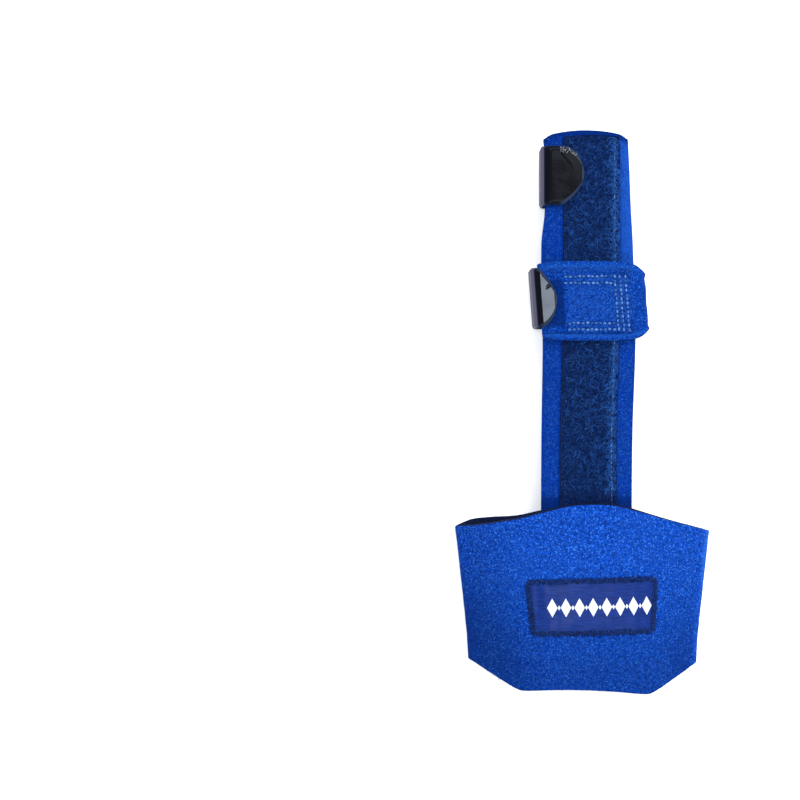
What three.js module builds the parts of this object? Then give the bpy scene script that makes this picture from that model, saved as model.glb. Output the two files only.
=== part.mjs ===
// Finger splint: a neoprene palm sleeve whose front wall carries a long padded finger support,
// with a loop strip along the support, two finger straps that close with hook tabs, and a sewn label.
// Millimetres. The splint lies on its back: +Z is up, +Y points to the fingertip end, +X to the right.

import * as THREE from "three";

// Clearance between pieces that lie on each other
const seat_gap = 0.35;

// Palm sleeve
const sleeve_wall = 3;
const sleeve_length = 68.3;
const mouth_half_width = 45.5;
const hem_half_width = 40.9;
const fold_radius = 3.2;
const hand_gap = 9;
const mouth_drop = 8.4;
const mouth_slant = 0.9;
const hem_corner_rise = 11.7;
const hem_hollow = 1.6;
const hem_tilt = 1.3;
// Share of the half width where the hem's straight middle turns into its chamfered corners
const chamfer_start = 0.57;
// Power of the front wall's crown: 2 is a parabola, more is flatter in the middle
const crown_power = 2.4;

// Finger support
const support_reach = 131.1;
const support_tail = 50;
const support_half_width = 16.2;
const support_thickness = 4.4;
const support_crown = 0.6;
const support_offset = 1;
const tip_arch = 1.9;
const tip_corner = 0.9;

// Loop strip
const strip_width = 20;
const strip_thickness = 1.1;
const strip_tip_margin = 2;

// Finger band, its stitched flap and its hook tab
const band_wall = 2.4;
const band_side_width = 21;
const band_front_width = 28;
const band_from_tip = 60.5;
const band_slack = 2.3;
const band_crown = 0.8;
const band_shoulder_radius = 5;
const band_foot_radius = 7;
const band_lean = -0.075;
// How far the band's end is tucked under the tab's shoulder, as a share of the shoulder's radius
const band_tuck = 0.35;
const flap_wall = 1;
const flap_width = 20.4;
const band_tab_front = 7.9;
const band_tab_round = 5.7;
// How far the tab sits above the band's middle, and how straight the far end's upper and lower
// corners are cut: 0 is a quarter ellipse, 1 a straight line
const band_tab_rise = 1;
const band_tab_cuts = { upper: 0.6, lower: 0.2 };

// Fingertip strap, sewn under the support
const tip_strap_wall = 2.4;
const tip_strap_width = 20.4;
const tip_strap_from_tip = 16.4;
const tip_strap_sewn_length = 7;
const tip_tab_front = 14.6;
const tip_tab_round = 7.8;
const tip_tab_cuts = { upper: 0, lower: 0.45 };

// Hook tabs
const tab_wall = 1.2;
const tab_width = 20.8;
const tab_shoulder_radius = 3;
const tab_foot_radius = 5;
const tab_lap = 9;

// Label
const label_width = 46;
const label_height = 19;
const label_wall = 0.8;
const label_offset = 2.4;
const label_from_hem = 31.9;
const label_taper = 0.94;
// How far its right end is turned up, in radians
const label_tilt = 0.02;

// Colours
const neoprene_blue = 0x1546c4;
const loop_navy = 0x12306e;
const tab_black = 0x17171b;
const label_navy = 0x172a7c;

// Heights above the surface that the splint lies on
const support_floor = sleeve_wall + hand_gap;
const support_top = support_floor + support_thickness + support_crown;
const strip_top = support_top + seat_gap + strip_thickness;

// Places along the finger, from the hem's lowest edge
const tip_y = sleeve_length + support_reach;
const tail_y = sleeve_length - support_tail;
const band_y = tip_y - band_from_tip;
const tip_strap_y = tip_y - tip_strap_from_tip;

// Outline of the sleeve's mouth: how far it has dropped from its crest, as a share of mouth_drop.
// The back wall's edge stands a little higher than the front's on the left and lower on the right.
const mouth_rows = [
  { across: -1, front: 1, back: 0.96 },
  { across: -0.9, front: 0.97, back: 0.72 },
  { across: -0.74, front: 0.83, back: 0.62 },
  { across: -0.53, front: 0.61, back: 0.56 },
  { across: -0.33, front: 0.32, back: 0.34 },
  { across: -0.1, front: 0.04, back: 0.14 },
  { across: 0.18, front: 0.015, back: 0.16 },
  { across: 0.35, front: 0.2, back: 0.38 },
  { across: 0.65, front: 0.66, back: 0.8 },
  { across: 1, front: 1.16, back: 1.16 },
];
// Sections of the sleeve from hem to mouth: half width between hem_half_width (0) and
// mouth_half_width (1), and crown as a share of what the support under the front wall needs.
const sleeve_rows = [
  { along: 0, widen: 0, rise: 0.8 },
  { along: 0.2, widen: 0.1, rise: 1 },
  { along: 0.6, widen: 0.53, rise: 1 },
  { along: 1, widen: 1, rise: 1.05 },
];
// Sides of the finger support and centreline of its loop strip, from the tip (0) to the mouth's
// crest (1), in shares of the support's half width from its middle
const support_rows = [
  { from_tip: 0, left: 0.965, right: 0.89, strip: 0.083 },
  { from_tip: 0.06, left: 0.925, right: 0.915, strip: 0.083 },
  { from_tip: 0.215, left: 0.925, right: 0.96, strip: 0.083 },
  { from_tip: 0.31, left: 1, right: 1, strip: 0.083 },
  { from_tip: 0.56, left: 0.97, right: 1.055, strip: 0.066 },
  { from_tip: 0.8, left: 0.995, right: 0.995, strip: 0.012 },
  { from_tip: 1, left: 1.005, right: 0.975, strip: 0.01 },
  { from_tip: 1.4, left: 1.005, right: 0.975, strip: 0.01 },
];

// Facets round a section of the sleeve
const front_steps = 22;
const fold_steps = 6;
const back_steps = 8;
const girth_steps = front_steps + 2 * fold_steps + back_steps;

// Value of a table's column at a place, on a smooth curve through its rows.
function follow(rows, key, column, at) {
  const last = rows.length - 1;
  const place = Math.min(Math.max(at, rows[0][key]), rows[last][key]);
  let i = 0;
  while (i < last - 1 && place > rows[i + 1][key]) i++;
  const slope = (k) => {
    const a = rows[Math.max(k - 1, 0)];
    const b = rows[Math.min(k + 1, last)];
    return (b[column] - a[column]) / (b[key] - a[key]);
  };
  const span = rows[i + 1][key] - rows[i][key];
  const t = (place - rows[i][key]) / span;
  return (
    rows[i][column] * (1 + 2 * t) * (1 - t) ** 2 +
    slope(i) * span * t * (1 - t) ** 2 +
    rows[i + 1][column] * t * t * (3 - 2 * t) +
    slope(i + 1) * span * t * t * (t - 1)
  );
}

// A ramp from 0 that turns into a straight rise with a soft corner.
function softRamp(value, softness) {
  return (value + Math.hypot(value, softness)) / 2;
}

// Moves each vertex of a unit block (u, v and w from 0 to 1) to its place on a curved solid.
function shapeBlock(u_steps, v_steps, place) {
  const geometry = new THREE.BoxGeometry(1, 1, 1, u_steps, v_steps, 1);
  const position = geometry.getAttribute("position");
  for (let i = 0; i < position.count; i++) {
    const [u, v, w] = [position.getX(i) + 0.5, position.getY(i) + 0.5, position.getZ(i) + 0.5];
    position.setXYZ(i, ...place(u, v, w));
  }
  geometry.computeVertexNormals();
  return geometry;
}

// The same for a ring: u runs once round it, v along it and w from its inner to its outer face.
function shapeRing(u_steps, v_steps, place) {
  const profile = [];
  for (let k = 0; k <= v_steps; k++) profile.push(new THREE.Vector2(2, k / v_steps));
  for (let k = v_steps; k >= 0; k--) profile.push(new THREE.Vector2(1, k / v_steps));
  profile.push(profile[0].clone());
  const geometry = new THREE.LatheGeometry(profile, u_steps);
  const position = geometry.getAttribute("position");
  for (let i = 0; i < position.count; i++) {
    const [x, z] = [position.getX(i), position.getZ(i)];
    const turn = Math.round((Math.atan2(x, z) / (2 * Math.PI)) * u_steps);
    const u = ((turn + u_steps) % u_steps) / u_steps;
    position.setXYZ(i, ...place(u, position.getY(i), Math.round(Math.hypot(x, z)) - 1));
  }
  geometry.computeVertexNormals();
  return geometry;
}

function namedMesh(name, geometry, color, roughness) {
  const material = new THREE.MeshStandardMaterial({ color, roughness, metalness: 0 });
  const mesh = new THREE.Mesh(geometry, material);
  mesh.name = name;
  return mesh;
}

// Finger support

function supportSides(y) {
  const from_tip = (tip_y - y) / support_reach;
  return {
    left: support_offset - support_half_width * follow(support_rows, "from_tip", "left", from_tip),
    right: support_offset + support_half_width * follow(support_rows, "from_tip", "right", from_tip),
  };
}

// Top and bottom of the support at e, which is 0 on its centreline and 1 at its sides.
function supportFaces(e) {
  const edge_start = 0.75;
  const edge_share = 0.45;
  const into_edge = Math.max(0, (e - edge_start) / (1 - edge_start));
  const half = (support_thickness / 2) * (1 - (1 - edge_share) * into_edge ** 2.2);
  const middle = support_floor + support_thickness / 2 + support_crown * (1 - e * e);
  return { top: middle + half, bottom: middle - half };
}

function supportTopAt(x, y) {
  const { left, right } = supportSides(y);
  const e = Math.min(1, Math.abs(x - (left + right) / 2) / ((right - left) / 2));
  return supportFaces(e).top;
}

// How far the support's arched end has dropped at e, with its corners rounded off.
function tipDrop(e) {
  const corner_start = 0.8;
  const into_corner = Math.max(0, (Math.abs(e) - corner_start) / (1 - corner_start));
  return tip_arch * e * e + tip_corner * into_corner ** 2;
}

function buildSupport() {
  const end_thickness_share = 0.6;
  const end_bend_start = 0.8;
  return shapeBlock(22, 26, (u, v, w) => {
    const e = Math.sin((u - 0.5) * Math.PI);
    const flat_y = tail_y + (tip_y - tail_y) * v ** 0.8;
    const into_end = Math.max(0, (v - end_bend_start) / (1 - end_bend_start));
    const { left, right } = supportSides(flat_y);
    const { top, bottom } = supportFaces(Math.abs(e));
    const pinch = v === 1 ? end_thickness_share : 1;
    const z = (top + bottom) / 2 + (w - 0.5) * (top - bottom) * pinch;
    return [(left + right) / 2 + (e * (right - left)) / 2, flat_y - tipDrop(e) * into_end, z];
  });
}

function stripCentre(y) {
  const from_tip = (tip_y - y) / support_reach;
  return support_offset + support_half_width * follow(support_rows, "from_tip", "strip", from_tip);
}

function buildStrip() {
  return shapeBlock(10, 24, (u, v, w) => {
    const across = (u - 0.5) * 2;
    const end_y = tip_y - strip_tip_margin - tipDrop((across * strip_width) / 2 / support_half_width);
    const y = tail_y + (end_y - tail_y) * v;
    const x = stripCentre(y) + (across * strip_width) / 2;
    return [x, y, supportTopAt(x, y) + seat_gap + w * strip_thickness];
  });
}

// Palm sleeve. Its section at a share v of the way from hem to mouth is a thin core, flat below
// and crowned above, and the wall stands off that core: fold_radius away at mid wall.

const core_floor = sleeve_wall / 2 + fold_radius;
const inner_stand_off = fold_radius - sleeve_wall / 2;

function sleeveSection(v) {
  const widen = follow(sleeve_rows, "along", "widen", v);
  const half = hem_half_width + (mouth_half_width - hem_half_width) * widen;
  const core_half = half - sleeve_wall / 2 - fold_radius;
  // The crown that clears a point of what lies inside by the seat gap.
  const crownOver = (x, z) =>
    (z + seat_gap - core_floor - inner_stand_off) / (1 - (Math.abs(x) / core_half) ** crown_power);
  const { left, right } = supportSides(sleeve_length);
  const strip_side = stripCentre(sleeve_length) + strip_width / 2;
  const crown = Math.max(
    crownOver(strip_side, strip_top),
    crownOver(stripCentre(sleeve_length) - strip_width / 2, strip_top),
    crownOver(left, supportFaces(0.9).top),
    crownOver(right, supportFaces(0.9).top),
  );
  return { core_half, crown: crown * follow(sleeve_rows, "along", "rise", v) };
}

// A point of the section's core, and the direction out of it, at a share u of the way round.
function sleeveCore(u, { core_half, crown }) {
  const steps = u * girth_steps;
  const edge_tilt = Math.atan2(crown * crown_power, core_half);
  const fold = (x, from, to, t) => {
    const angle = from + (to - from) * t;
    return { x, z: core_floor, out_x: Math.cos(angle), out_z: Math.sin(angle) };
  };
  if (steps <= front_steps) {
    const across = (steps / front_steps) * 2 - 1;
    const slope = ((-crown * crown_power) / core_half) *
      Math.abs(across) ** (crown_power - 1) * Math.sign(across);
    const length = Math.hypot(1, slope);
    const z = core_floor + crown * (1 - Math.abs(across) ** crown_power);
    return { x: across * core_half, z, out_x: -slope / length, out_z: 1 / length };
  }
  const past_front = steps - front_steps;
  if (past_front <= fold_steps)
    return fold(core_half, Math.PI / 2 - edge_tilt, -Math.PI / 2, past_front / fold_steps);
  const past_fold = past_front - fold_steps;
  if (past_fold <= back_steps) {
    const x = core_half * (1 - (2 * past_fold) / back_steps);
    return { x, z: core_floor, out_x: 0, out_z: -1 };
  }
  const past_back = past_fold - back_steps;
  return fold(-core_half, -Math.PI / 2, -1.5 * Math.PI + edge_tilt, past_back / fold_steps);
}

function hemY(across) {
  const corner_softness = 0.05;
  const past_start = Math.abs(across) - chamfer_start;
  const corner = softRamp(past_start, corner_softness) / (1 - chamfer_start);
  const between = Math.min(1, Math.max(-1, across / chamfer_start));
  const lift = (hem_tilt * (1 - between)) / 2 + hem_hollow * (1 - between ** 2);
  return lift + (hem_corner_rise - hem_tilt) * corner;
}

function mouthY(across, facing) {
  const front = follow(mouth_rows, "across", "front", across);
  const back = follow(mouth_rows, "across", "back", across);
  const crest = sleeve_length - mouth_slant;
  return crest - mouth_drop * (back + ((front - back) * (1 + facing)) / 2);
}

function buildSleeve() {
  return shapeRing(girth_steps, 12, (u, v, w) => {
    const section = sleeveSection(v);
    const core = sleeveCore(u, section);
    const stand_off = fold_radius + (w - 0.5) * sleeve_wall;
    const across = (core.x + core.out_x * fold_radius) / (section.core_half + fold_radius);
    const hem = hemY(across);
    const lip = mouth_slant * (1 - w) * Math.max(0, core.out_z);
    const y = hem + (mouthY(across, core.out_z) + lip - hem) * v;
    return [core.x + core.out_x * stand_off, y, core.z + core.out_z * stand_off];
  });
}

// Height of a skin that lies a given distance outside the sleeve's front wall, over a point (x, y).
function aboveSleeveFront(x, y, distance) {
  const stand_off = fold_radius + sleeve_wall / 2 + distance;
  let v = 0.5;
  let section = sleeveSection(v);
  let core = sleeveCore(0, section);
  let core_x = x;
  for (let round = 0; round < 8; round++) {
    section = sleeveSection(v);
    const u = ((core_x / section.core_half + 1) / 2) * front_steps;
    core = sleeveCore(u / girth_steps, section);
    core_x = x - core.out_x * stand_off;
    const across = (core.x + core.out_x * fold_radius) / (section.core_half + fold_radius);
    v = (y - hemY(across)) / (mouthY(across, 1) - hemY(across));
  }
  return core.z + core.out_z * stand_off;
}

function buildLabel() {
  return shapeBlock(18, 6, (u, v, w) => {
    const taper = label_taper + (1 - label_taper) * v;
    const across = (u - 0.5) * label_width * taper;
    const up = (v - 0.5) * label_height;
    const x = label_offset + across - label_tilt * up;
    const y = label_from_hem + up + label_tilt * across;
    return [x, y, aboveSleeveFront(x, y, seat_gap + w * label_wall)];
  });
}

// Straps. A route is a path in the plane across the finger, x to the right and z up, run
// clockwise, so that its left-hand side is the strap's outer face.

function buildStrap(route, u_steps, wall, share, halfWidth, lean = 0, rise = 0) {
  return shapeBlock(u_steps, 4, (u, v, w) => {
    const at = share(u);
    const point = route.getPointAt(at);
    const along = route.getTangentAt(at);
    const y = (v - 0.5) * 2 * halfWidth(u, point, v) + rise;
    const off = (w - 0.5) * wall;
    return [point.x - along.y * off + lean * y, y, point.y + along.x * off];
  });
}

// Share of the route and half width of a hook tab, whose far end is round with cut corners.
function roundEnd(route, round_length, { upper, lower }) {
  const straight_steps = 0.7;
  const least_end = 0.12;
  const straight = 1 - round_length / route.getLength();
  const turn = (u) => Math.max(0, (u - straight_steps) / (1 - straight_steps));
  const share = (u) => {
    if (u <= straight_steps) return (u / straight_steps) * straight;
    return straight + (1 - straight) * Math.sin((turn(u) * Math.PI) / 2);
  };
  const halfWidth = (u, point, v) => {
    const cut = v > 0.5 ? upper : lower;
    const angle = (turn(u) * Math.PI) / 2;
    const width = 1 - cut * Math.sin(angle) - (1 - cut) * (1 - Math.cos(angle));
    return (tab_width / 2) * Math.max(least_end, width);
  };
  return { share, halfWidth };
}

// A hook tab's route: along the back, round the foot, up the left side and over the shoulder.
function tabRoute(start_x, back_z, side_x, frontAt) {
  const route = new THREE.Path();
  const foot_x = side_x + tab_foot_radius;
  route.moveTo(start_x, back_z);
  route.lineTo(foot_x, back_z);
  route.absarc(foot_x, back_z + tab_foot_radius, tab_foot_radius, -Math.PI / 2, -Math.PI, true);
  const shoulder_x = side_x + tab_shoulder_radius;
  const shoulder_z = frontAt(shoulder_x) - tab_shoulder_radius;
  route.absarc(shoulder_x, shoulder_z, tab_shoulder_radius, Math.PI, Math.PI / 2, true);
  return route;
}

const band_half = support_half_width + band_slack + band_wall / 2;
const band_front_half = band_half - band_shoulder_radius;
const band_front_z = strip_top + seat_gap + band_wall / 2;
const band_tab_side = -(support_half_width + band_slack + tab_wall / 2);
const band_start = band_tab_side + tab_wall / 2 + seat_gap + band_tuck * tab_shoulder_radius;

// Height of the band's crowned front, at mid wall.
function bandFrontAt(x) {
  return band_front_z + band_crown * (1 - (x / band_front_half) ** 2);
}

// A stretch of the crowned front at a height above the band's mid wall, left to right: the
// parabola's control point is where the tangents at its two ends meet.
function followFront(route, lift, from_x, to_x) {
  const slope = (-2 * band_crown * from_x) / band_front_half ** 2;
  const middle_x = (from_x + to_x) / 2;
  const control_z = bandFrontAt(from_x) + lift + slope * (middle_x - from_x);
  route.quadraticCurveTo(middle_x, control_z, to_x, bandFrontAt(to_x) + lift);
}

function buildBand() {
  const route = new THREE.Path();
  const shoulder_z = band_front_z - band_shoulder_radius;
  const foot_x = band_half - band_foot_radius;
  const foot_z = band_wall / 2 + band_foot_radius;
  route.moveTo(band_start, bandFrontAt(band_start));
  followFront(route, 0, band_start, band_front_half);
  route.absarc(band_front_half, shoulder_z, band_shoulder_radius, Math.PI / 2, 0, true);
  route.absarc(foot_x, foot_z, band_foot_radius, 0, -Math.PI / 2, true);
  route.lineTo(-foot_x, band_wall / 2);
  const halfWidth = (u, point) => {
    const on_front = THREE.MathUtils.smoothstep(point.y, shoulder_z, band_front_z);
    const inward = 1 - (Math.abs(point.x) / band_half) ** 4;
    const swell = (band_front_width - band_side_width) / 2;
    return band_side_width / 2 + swell * Math.sqrt(Math.max(0, inward)) * on_front;
  };
  return buildStrap(route, 44, band_wall, (u) => u, halfWidth, band_lean);
}

function buildFlap() {
  const route = new THREE.Path();
  const lift = band_wall / 2 + seat_gap + flap_wall / 2;
  route.moveTo(band_start, bandFrontAt(band_start) + lift);
  followFront(route, lift, band_start, band_front_half);
  return buildStrap(route, 12, flap_wall, (u) => u, () => flap_width / 2, band_lean);
}

function buildBandTab() {
  const start_x = band_foot_radius - band_half + tab_lap;
  const back_z = band_wall + seat_gap + tab_wall / 2;
  const lift = band_wall / 2 + flap_wall + 2 * seat_gap + tab_wall / 2;
  const route = tabRoute(start_x, back_z, band_tab_side, (x) => bandFrontAt(x) + lift);
  followFront(route, lift, band_tab_side + tab_shoulder_radius, band_tab_side + band_tab_front);
  const { share, halfWidth } = roundEnd(route, band_tab_round, band_tab_cuts);
  return buildStrap(route, 30, tab_wall, share, halfWidth, band_lean, band_tab_rise);
}

function buildTipStrap() {
  const route = new THREE.Path();
  const sewn_z = support_floor - seat_gap - tip_strap_wall / 2;
  const floor_z = tip_strap_wall / 2;
  const turn_radius = (sewn_z - floor_z) / 2;
  const side = supportSides(tip_strap_y).right - support_offset - seat_gap;
  const turn_x = side - tip_strap_wall / 2 - turn_radius;
  route.moveTo(turn_x - tip_strap_sewn_length, sewn_z);
  route.lineTo(turn_x, sewn_z);
  route.absarc(turn_x, floor_z + turn_radius, turn_radius, Math.PI / 2, -Math.PI / 2, true);
  route.lineTo(-turn_x, floor_z);
  return buildStrap(route, 26, tip_strap_wall, (u) => u, () => tip_strap_width / 2);
}

function buildTipTab() {
  const sides = [-0.5, 0, 0.5].map((k) => supportSides(tip_strap_y + k * tab_width).left);
  const half = support_offset - Math.min(...sides);
  const side_x = -(half + seat_gap + tab_wall / 2);
  const back_z = tip_strap_wall + seat_gap + tab_wall / 2;
  const front_z = strip_top + seat_gap + tab_wall / 2;
  const start_x = side_x + tab_foot_radius + tab_lap;
  const route = tabRoute(start_x, back_z, side_x, () => front_z);
  route.lineTo(side_x + tip_tab_front, front_z);
  const { share, halfWidth } = roundEnd(route, tip_tab_round, tip_tab_cuts);
  return buildStrap(route, 32, tab_wall, share, halfWidth);
}

const splint = new THREE.Group();
splint.add(namedMesh("palm_sleeve", buildSleeve(), neoprene_blue, 0.9));
splint.add(namedMesh("finger_support", buildSupport(), neoprene_blue, 0.9));
splint.add(namedMesh("loop_strip", buildStrip(), loop_navy, 1));
splint.add(namedMesh("label", buildLabel(), label_navy, 0.5));

const finger_band = new THREE.Group();
finger_band.position.set(support_offset, band_y, 0);
finger_band.add(namedMesh("finger_band", buildBand(), neoprene_blue, 0.95));
finger_band.add(namedMesh("band_flap", buildFlap(), neoprene_blue, 0.95));
finger_band.add(namedMesh("band_hook_tab", buildBandTab(), tab_black, 0.25));
splint.add(finger_band);

const tip_strap = new THREE.Group();
tip_strap.position.set(support_offset, tip_strap_y, 0);
tip_strap.add(namedMesh("tip_strap", buildTipStrap(), neoprene_blue, 0.95));
tip_strap.add(namedMesh("tip_hook_tab", buildTipTab(), tab_black, 0.25));
splint.add(tip_strap);

// The frame's origin is the middle of the splint's box, on the surface that it lies on.
const reach = new THREE.Box3().setFromObject(splint, true);
const centre = reach.getCenter(new THREE.Vector3());
splint.position.set(-centre.x, -centre.y, -reach.min.z);

export default splint;
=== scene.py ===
"""A finger splint of blue neoprene, lying on its back on a pale table and seen from straight above.

Every piece is a surface worked out with numpy, in millimetres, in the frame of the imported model:
+Y points to the fingertip end, +Z up. The sizes below are those of the splint's solids.
"""

import bpy
import numpy as np
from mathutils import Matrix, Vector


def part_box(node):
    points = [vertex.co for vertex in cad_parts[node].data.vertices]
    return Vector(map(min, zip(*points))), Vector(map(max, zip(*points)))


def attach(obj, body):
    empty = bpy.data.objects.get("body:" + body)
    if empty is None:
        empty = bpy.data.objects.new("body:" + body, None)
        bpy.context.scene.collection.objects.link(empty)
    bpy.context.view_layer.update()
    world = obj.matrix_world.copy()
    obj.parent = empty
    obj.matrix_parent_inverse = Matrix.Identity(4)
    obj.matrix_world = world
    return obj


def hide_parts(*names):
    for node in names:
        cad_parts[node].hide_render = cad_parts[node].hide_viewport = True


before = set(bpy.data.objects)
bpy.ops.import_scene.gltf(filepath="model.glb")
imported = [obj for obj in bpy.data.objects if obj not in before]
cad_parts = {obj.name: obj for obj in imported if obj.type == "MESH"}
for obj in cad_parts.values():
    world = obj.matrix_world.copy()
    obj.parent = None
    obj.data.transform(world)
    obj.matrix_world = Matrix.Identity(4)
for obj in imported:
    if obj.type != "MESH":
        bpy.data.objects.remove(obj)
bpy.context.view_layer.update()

MM = 0.001

# Palm sleeve
SLEEVE_WALL = 3.0
SLEEVE_LENGTH = 68.3
MOUTH_HALF_WIDTH = 45.5
HEM_HALF_WIDTH = 40.9
FOLD_RADIUS = 3.2
HAND_GAP = 9.0
MOUTH_DROP = 8.4
MOUTH_SLANT = 0.9
HEM_CORNER_RISE = 11.7
HEM_HOLLOW = 1.6
HEM_TILT = 1.3
CHAMFER_START = 0.57
CORNER_SOFTNESS = 0.05
CROWN_POWER = 2.4

# Finger support
SUPPORT_REACH = 131.1
SUPPORT_TAIL = 50.0
SUPPORT_HALF_WIDTH = 16.2
SUPPORT_THICKNESS = 4.4
SUPPORT_CROWN = 0.6
SUPPORT_OFFSET = 1.0
TIP_ARCH = 1.9
TIP_CORNER = 0.9

# Loop strip
STRIP_WIDTH = 20.0
STRIP_THICKNESS = 1.1
STRIP_SEAT = 0.12
STRIP_TIP_MARGIN = 2.0

# Finger band, its flap and its hook tab
BAND_WALL = 2.4
BAND_SIDE_WIDTH = 21.0
BAND_FRONT_WIDTH = 28.0
BAND_FROM_TIP = 60.5
BAND_SLACK = 2.3
BAND_CROWN = 0.8
BAND_SHOULDER = 5.0
BAND_FOOT = 7.0
BAND_LEAN = -0.075
BAND_TUCK = 0.35
FLAP_WALL = 1.0
BAND_TAB_FRONT = 7.9
BAND_TAB_ROUND = 5.7
BAND_TAB_RISE = 1.0
BAND_TAB_CUTS = (0.6, 0.2)

# Fingertip strap
TIP_STRAP_WALL = 2.4
TIP_STRAP_WIDTH = 20.4
TIP_STRAP_FROM_TIP = 16.4
TIP_STRAP_SEWN = 7.0
TIP_TAB_FRONT = 14.6
TIP_TAB_ROUND = 7.8
TIP_TAB_CUTS = (0.0, 0.45)

# Hook tabs
TAB_WALL = 1.2
TAB_WIDTH = 20.8
TAB_SHOULDER = 3.0
TAB_FOOT = 5.0
TAB_LAP = 9.0

# Label
LABEL_WIDTH = 46.0
LABEL_HEIGHT = 19.0
LABEL_OFFSET = 2.4
LABEL_FROM_HEM = 31.9
LABEL_TAPER = 0.94
LABEL_TILT = 0.02
# Shares of the label's width and height that its satin panel covers, inside the border
PANEL_ACROSS = 0.975
PANEL_UP = 0.97

# Clearance between pieces that lie on each other
SEAT_GAP = 0.35

# How many loose fibres lie on each piece
SLEEVE_FIBRES = 8000
SUPPORT_FIBRES = 2800
BAND_FIBRES = 4200
FLAP_FIBRES = 2100
NAP_LOOPS = 5300
NAP_CURLS = 2300
LINT_FIBRES = 34
BORDER_ENDS = 1100

# Heights above the table, and places along the finger, from the hem's lowest edge
SUPPORT_FLOOR = SLEEVE_WALL + HAND_GAP
STRIP_TOP = SUPPORT_FLOOR + SUPPORT_THICKNESS + SUPPORT_CROWN + SEAT_GAP + STRIP_THICKNESS
TIP_Y = SLEEVE_LENGTH + SUPPORT_REACH
TAIL_Y = SLEEVE_LENGTH - SUPPORT_TAIL
BAND_Y = TIP_Y - BAND_FROM_TIP
TIP_STRAP_Y = TIP_Y - TIP_STRAP_FROM_TIP
# Where the hem's lowest edge lies in the frame
HEM_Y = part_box("finger_support")[1][1] / MM - TIP_Y

# Outline of the mouth: place across, and how far the front's and the back's edge have dropped
MOUTH = np.array([
    (-1.0, 1.0, 0.96),
    (-0.9, 0.97, 0.72),
    (-0.74, 0.83, 0.62),
    (-0.53, 0.61, 0.56),
    (-0.33, 0.32, 0.34),
    (-0.1, 0.04, 0.14),
    (0.18, 0.015, 0.16),
    (0.35, 0.2, 0.38),
    (0.65, 0.66, 0.8),
    (1.0, 1.16, 1.16),
])
# Sections of the sleeve: place along, share of the widening, share of the crown
SECTIONS = np.array([
    (0.0, 0.0, 0.8),
    (0.2, 0.1, 1.0),
    (0.6, 0.53, 1.0),
    (1.0, 1.0, 1.05),
])
# Support from the tip: place, left side, right side, centreline of the strip
SIDES = np.array([
    (0.0, 0.965, 0.89, 0.083),
    (0.06, 0.925, 0.915, 0.083),
    (0.215, 0.925, 0.96, 0.083),
    (0.31, 1.0, 1.0, 0.083),
    (0.56, 0.97, 1.055, 0.066),
    (0.8, 0.995, 0.995, 0.012),
    (1.0, 1.005, 0.975, 0.01),
    (1.4, 1.005, 0.975, 0.01),
])


# Numbers along curves

def follow(rows, column, at):
    """Value of a table's column at each place: a cubic between two rows whose end slopes are
    those of the lines through each row's neighbours."""
    place, value = rows[:, 0], rows[:, column]
    last = len(rows) - 1
    before = np.maximum(np.arange(last + 1) - 1, 0)
    after = np.minimum(np.arange(last + 1) + 1, last)
    slope = (value[after] - value[before]) / (place[after] - place[before])
    at = np.clip(np.asarray(at, float), place[0], place[-1])
    i = np.clip(np.searchsorted(place, at, side="left") - 1, 0, last - 1)
    span = place[i + 1] - place[i]
    t = (at - place[i]) / span
    return (
        value[i] * (1 + 2 * t) * (1 - t) ** 2
        + slope[i] * span * t * (1 - t) ** 2
        + value[i + 1] * t * t * (3 - 2 * t)
        + slope[i + 1] * span * t * t * (t - 1)
    )


def ease(value, low, high):
    """0 below low, 1 above high, and 3t^2 - 2t^3 between them."""
    t = np.clip((value - low) / (high - low), 0, 1)
    return t * t * (3 - 2 * t)


def bell(value, centre, width):
    """1 at the centre, and exp(-t^2) at t widths from it."""
    return np.exp(-((value - centre) / width) ** 2)


def unevenness(a, b, cell, seed):
    """Soft random relief from -1 to 1: random heights on a square lattice, eased between."""
    side = 128
    lattice = np.random.default_rng(seed).uniform(-1, 1, (side, side))
    a, b = np.broadcast_arrays(np.asarray(a, float) / cell, np.asarray(b, float) / cell)
    i, j = np.floor(a).astype(int), np.floor(b).astype(int)
    s, t = a - i, b - j
    s, t = s * s * (3 - 2 * s), t * t * (3 - 2 * t)
    near = lattice[i % side, j % side] * (1 - t) + lattice[i % side, (j + 1) % side] * t
    far = lattice[(i + 1) % side, j % side] * (1 - t) + lattice[(i + 1) % side, (j + 1) % side] * t
    return near * (1 - s) + far * s


# Meshes

def lay_grid(rows, columns, wrap_rows=False, wrap_columns=True):
    """Quads between the points of a grid, numbered row by row. They face out of rows x columns."""
    i = np.arange(rows if wrap_rows else rows - 1)[:, None]
    j = np.arange(columns if wrap_columns else columns - 1)[None, :]
    next_i, next_j = (i + 1) % rows, (j + 1) % columns
    corners = (i * columns + j, next_i * columns + j, next_i * columns + next_j, i * columns + next_j)
    return np.stack(np.broadcast_arrays(*corners), axis=-1).reshape(-1, 4)


def close_ends(rows, columns):
    """Quads that close both ends of a tube whose section has its point k across from point
    columns - 1 - k, so that a strip of quads fills each end."""
    k = np.arange(columns // 2 - 1)
    strip = np.stack([k, k + 1, columns - 2 - k, columns - 1 - k], axis=-1)
    return np.concatenate([strip, strip[:, ::-1] + (rows - 1) * columns])


def close_tube(sections):
    """Quads of a tube whose sections are a grid's rows, with both of its ends closed."""
    rows, columns = sections.shape[:2]
    return np.concatenate([lay_grid(rows, columns), close_ends(rows, columns)])


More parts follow.
